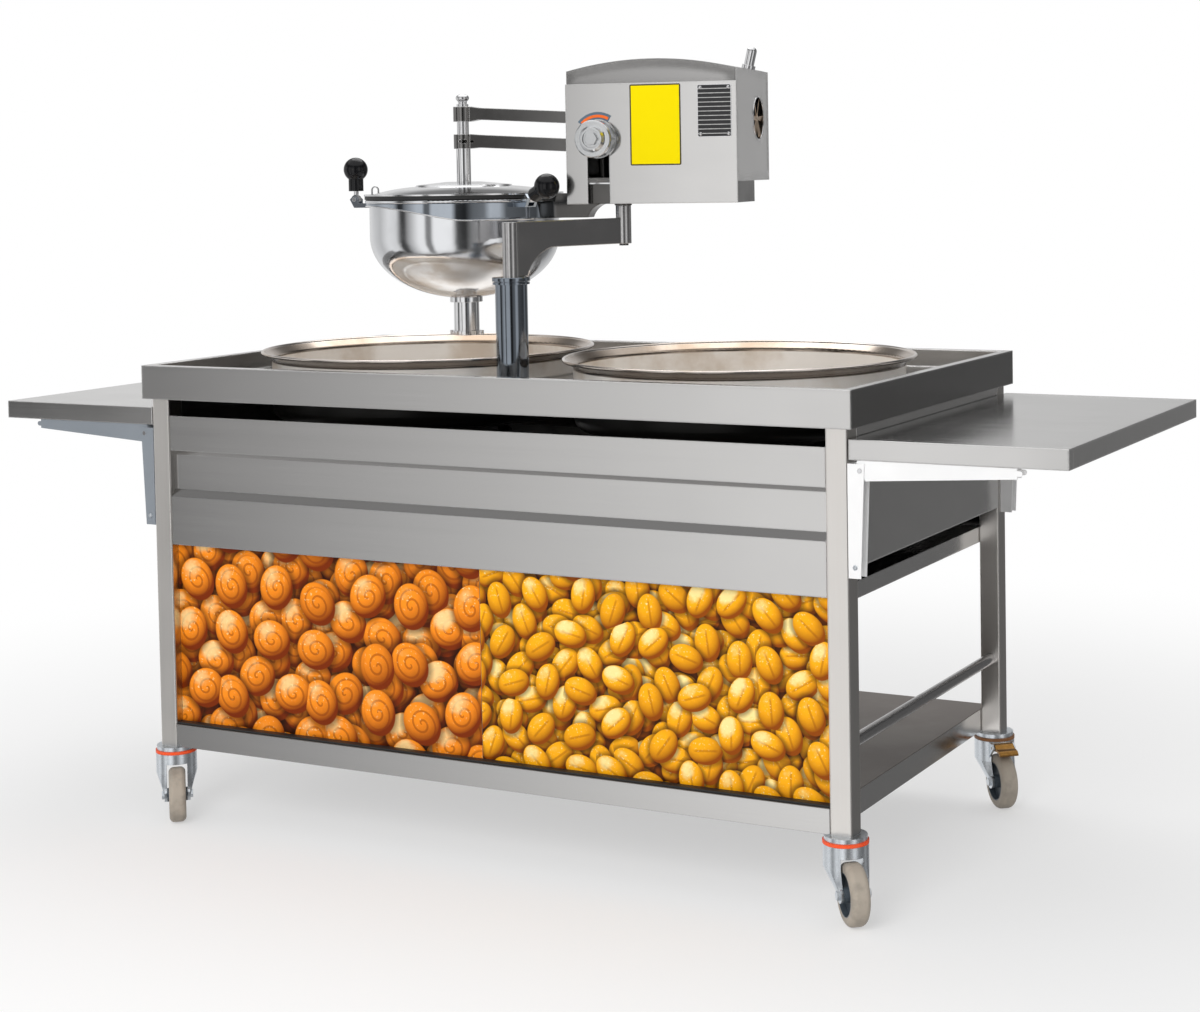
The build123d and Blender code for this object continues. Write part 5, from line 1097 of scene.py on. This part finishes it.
def add_spoke(bm, angle):
    outline = ((0.0, -spoke_root), (vent_radius, -spoke_tip),
               (vent_radius, spoke_tip), (0.0, spoke_root))
    face = bm.faces.new([bm.verts.new((across, rise, 0.0)) for across, rise in outline])
    top = thicken(bm, [face], spoke_sheet)
    inset = Matrix.Translation((0.0, 0.0, -guard_depth)) @ Matrix.Rotation(spoke_twist, 4, "X")
    bmesh.ops.transform(bm, matrix=Matrix.Rotation(angle, 4, "Z") @ inset,
                        verts=[*face.verts, *top])


bm = wire_ring(vent_radius, rim_radius, steps=64)
for face in bm.faces:
    face.material_index = 1
bmesh.ops.create_cone(bm, cap_ends=True, segments=32, radius1=hub_radius,
                      radius2=hub_taper * hub_radius, depth=hub_depth,
                      matrix=Matrix.Translation((0.0, 0.0, -guard_depth)))
for i in range(guard_spokes):
    add_spoke(bm, 2.0 * pi * i / guard_spokes)
sideways = fan_axis.to_track_quat("Z", "Y").to_matrix().to_4x4()
vent_place = Matrix.Translation(fan_place + vent_face * fan_axis)
bmesh.ops.transform(bm, matrix=vent_place @ sideways, verts=bm.verts)
settle(bm, "vent_guard", "head", "pedal_bronze", fan_bronze, mirror_steel)

# %% [markdown]
# ## The bead of the bowl's collar
# The lower edge of the collar is folded back, so a thin bright line follows its wave. A curve with
# a bevel could trace it. Here a wire ring is spun round the bowl's axis, and its points move to
# the height that the collar's edge has at their angle, read from the solid. Points of the lugs lie
# higher than the wave near them, and are left out.

# %% Read the wave of the collar
wave_height, face_depth = 0.030, 0.0005
near_angle, lug_rise = 0.07, 0.006
bowl_axis = middle("bowl")
collar_low, collar_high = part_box("bowl_collar")
collar_reach = (collar_high[1] - collar_low[1]) / 2.0
wave = {}
for vert in nodes["bowl_collar"].data.vertices:
    out = vert.co - bowl_axis
    on_face = abs(out.xy.length - collar_reach) < face_depth
    if on_face and vert.co.z < collar_low[2] + wave_height:
        angle = round(atan2(out.y, out.x), 3)
        wave[angle] = min(vert.co.z, wave.get(angle, collar_high[2]))
for angle in list(wave):
    lowest = min(level for near, level in wave.items() if abs(near - angle) < near_angle)
    if wave[angle] > lowest + lug_rise:
        del wave[angle]
wave_angles = sorted(wave)
print("points of the wave:", len(wave_angles))

# %% Collar bead
bead_radius, bead_steps = 0.0015, 144


def wave_level(angle):
    later = bisect(wave_angles, angle) % len(wave_angles)
    first, second = wave_angles[later - 1], wave_angles[later]
    share = ((angle - first) % (2.0 * pi)) / ((second - first) % (2.0 * pi))
    return (1.0 - share) * wave[first] + share * wave[second]


bm = wire_ring(collar_reach, bead_radius, bead_steps)
for vert in bm.verts:
    vert.co.z += wave_level(atan2(vert.co.y, vert.co.x))
bmesh.ops.translate(bm, vec=(bowl_axis.x, bowl_axis.y, 0.0), verts=bm.verts)
settle(bm, "collar_bead", "head", "chrome", mirror_steel)
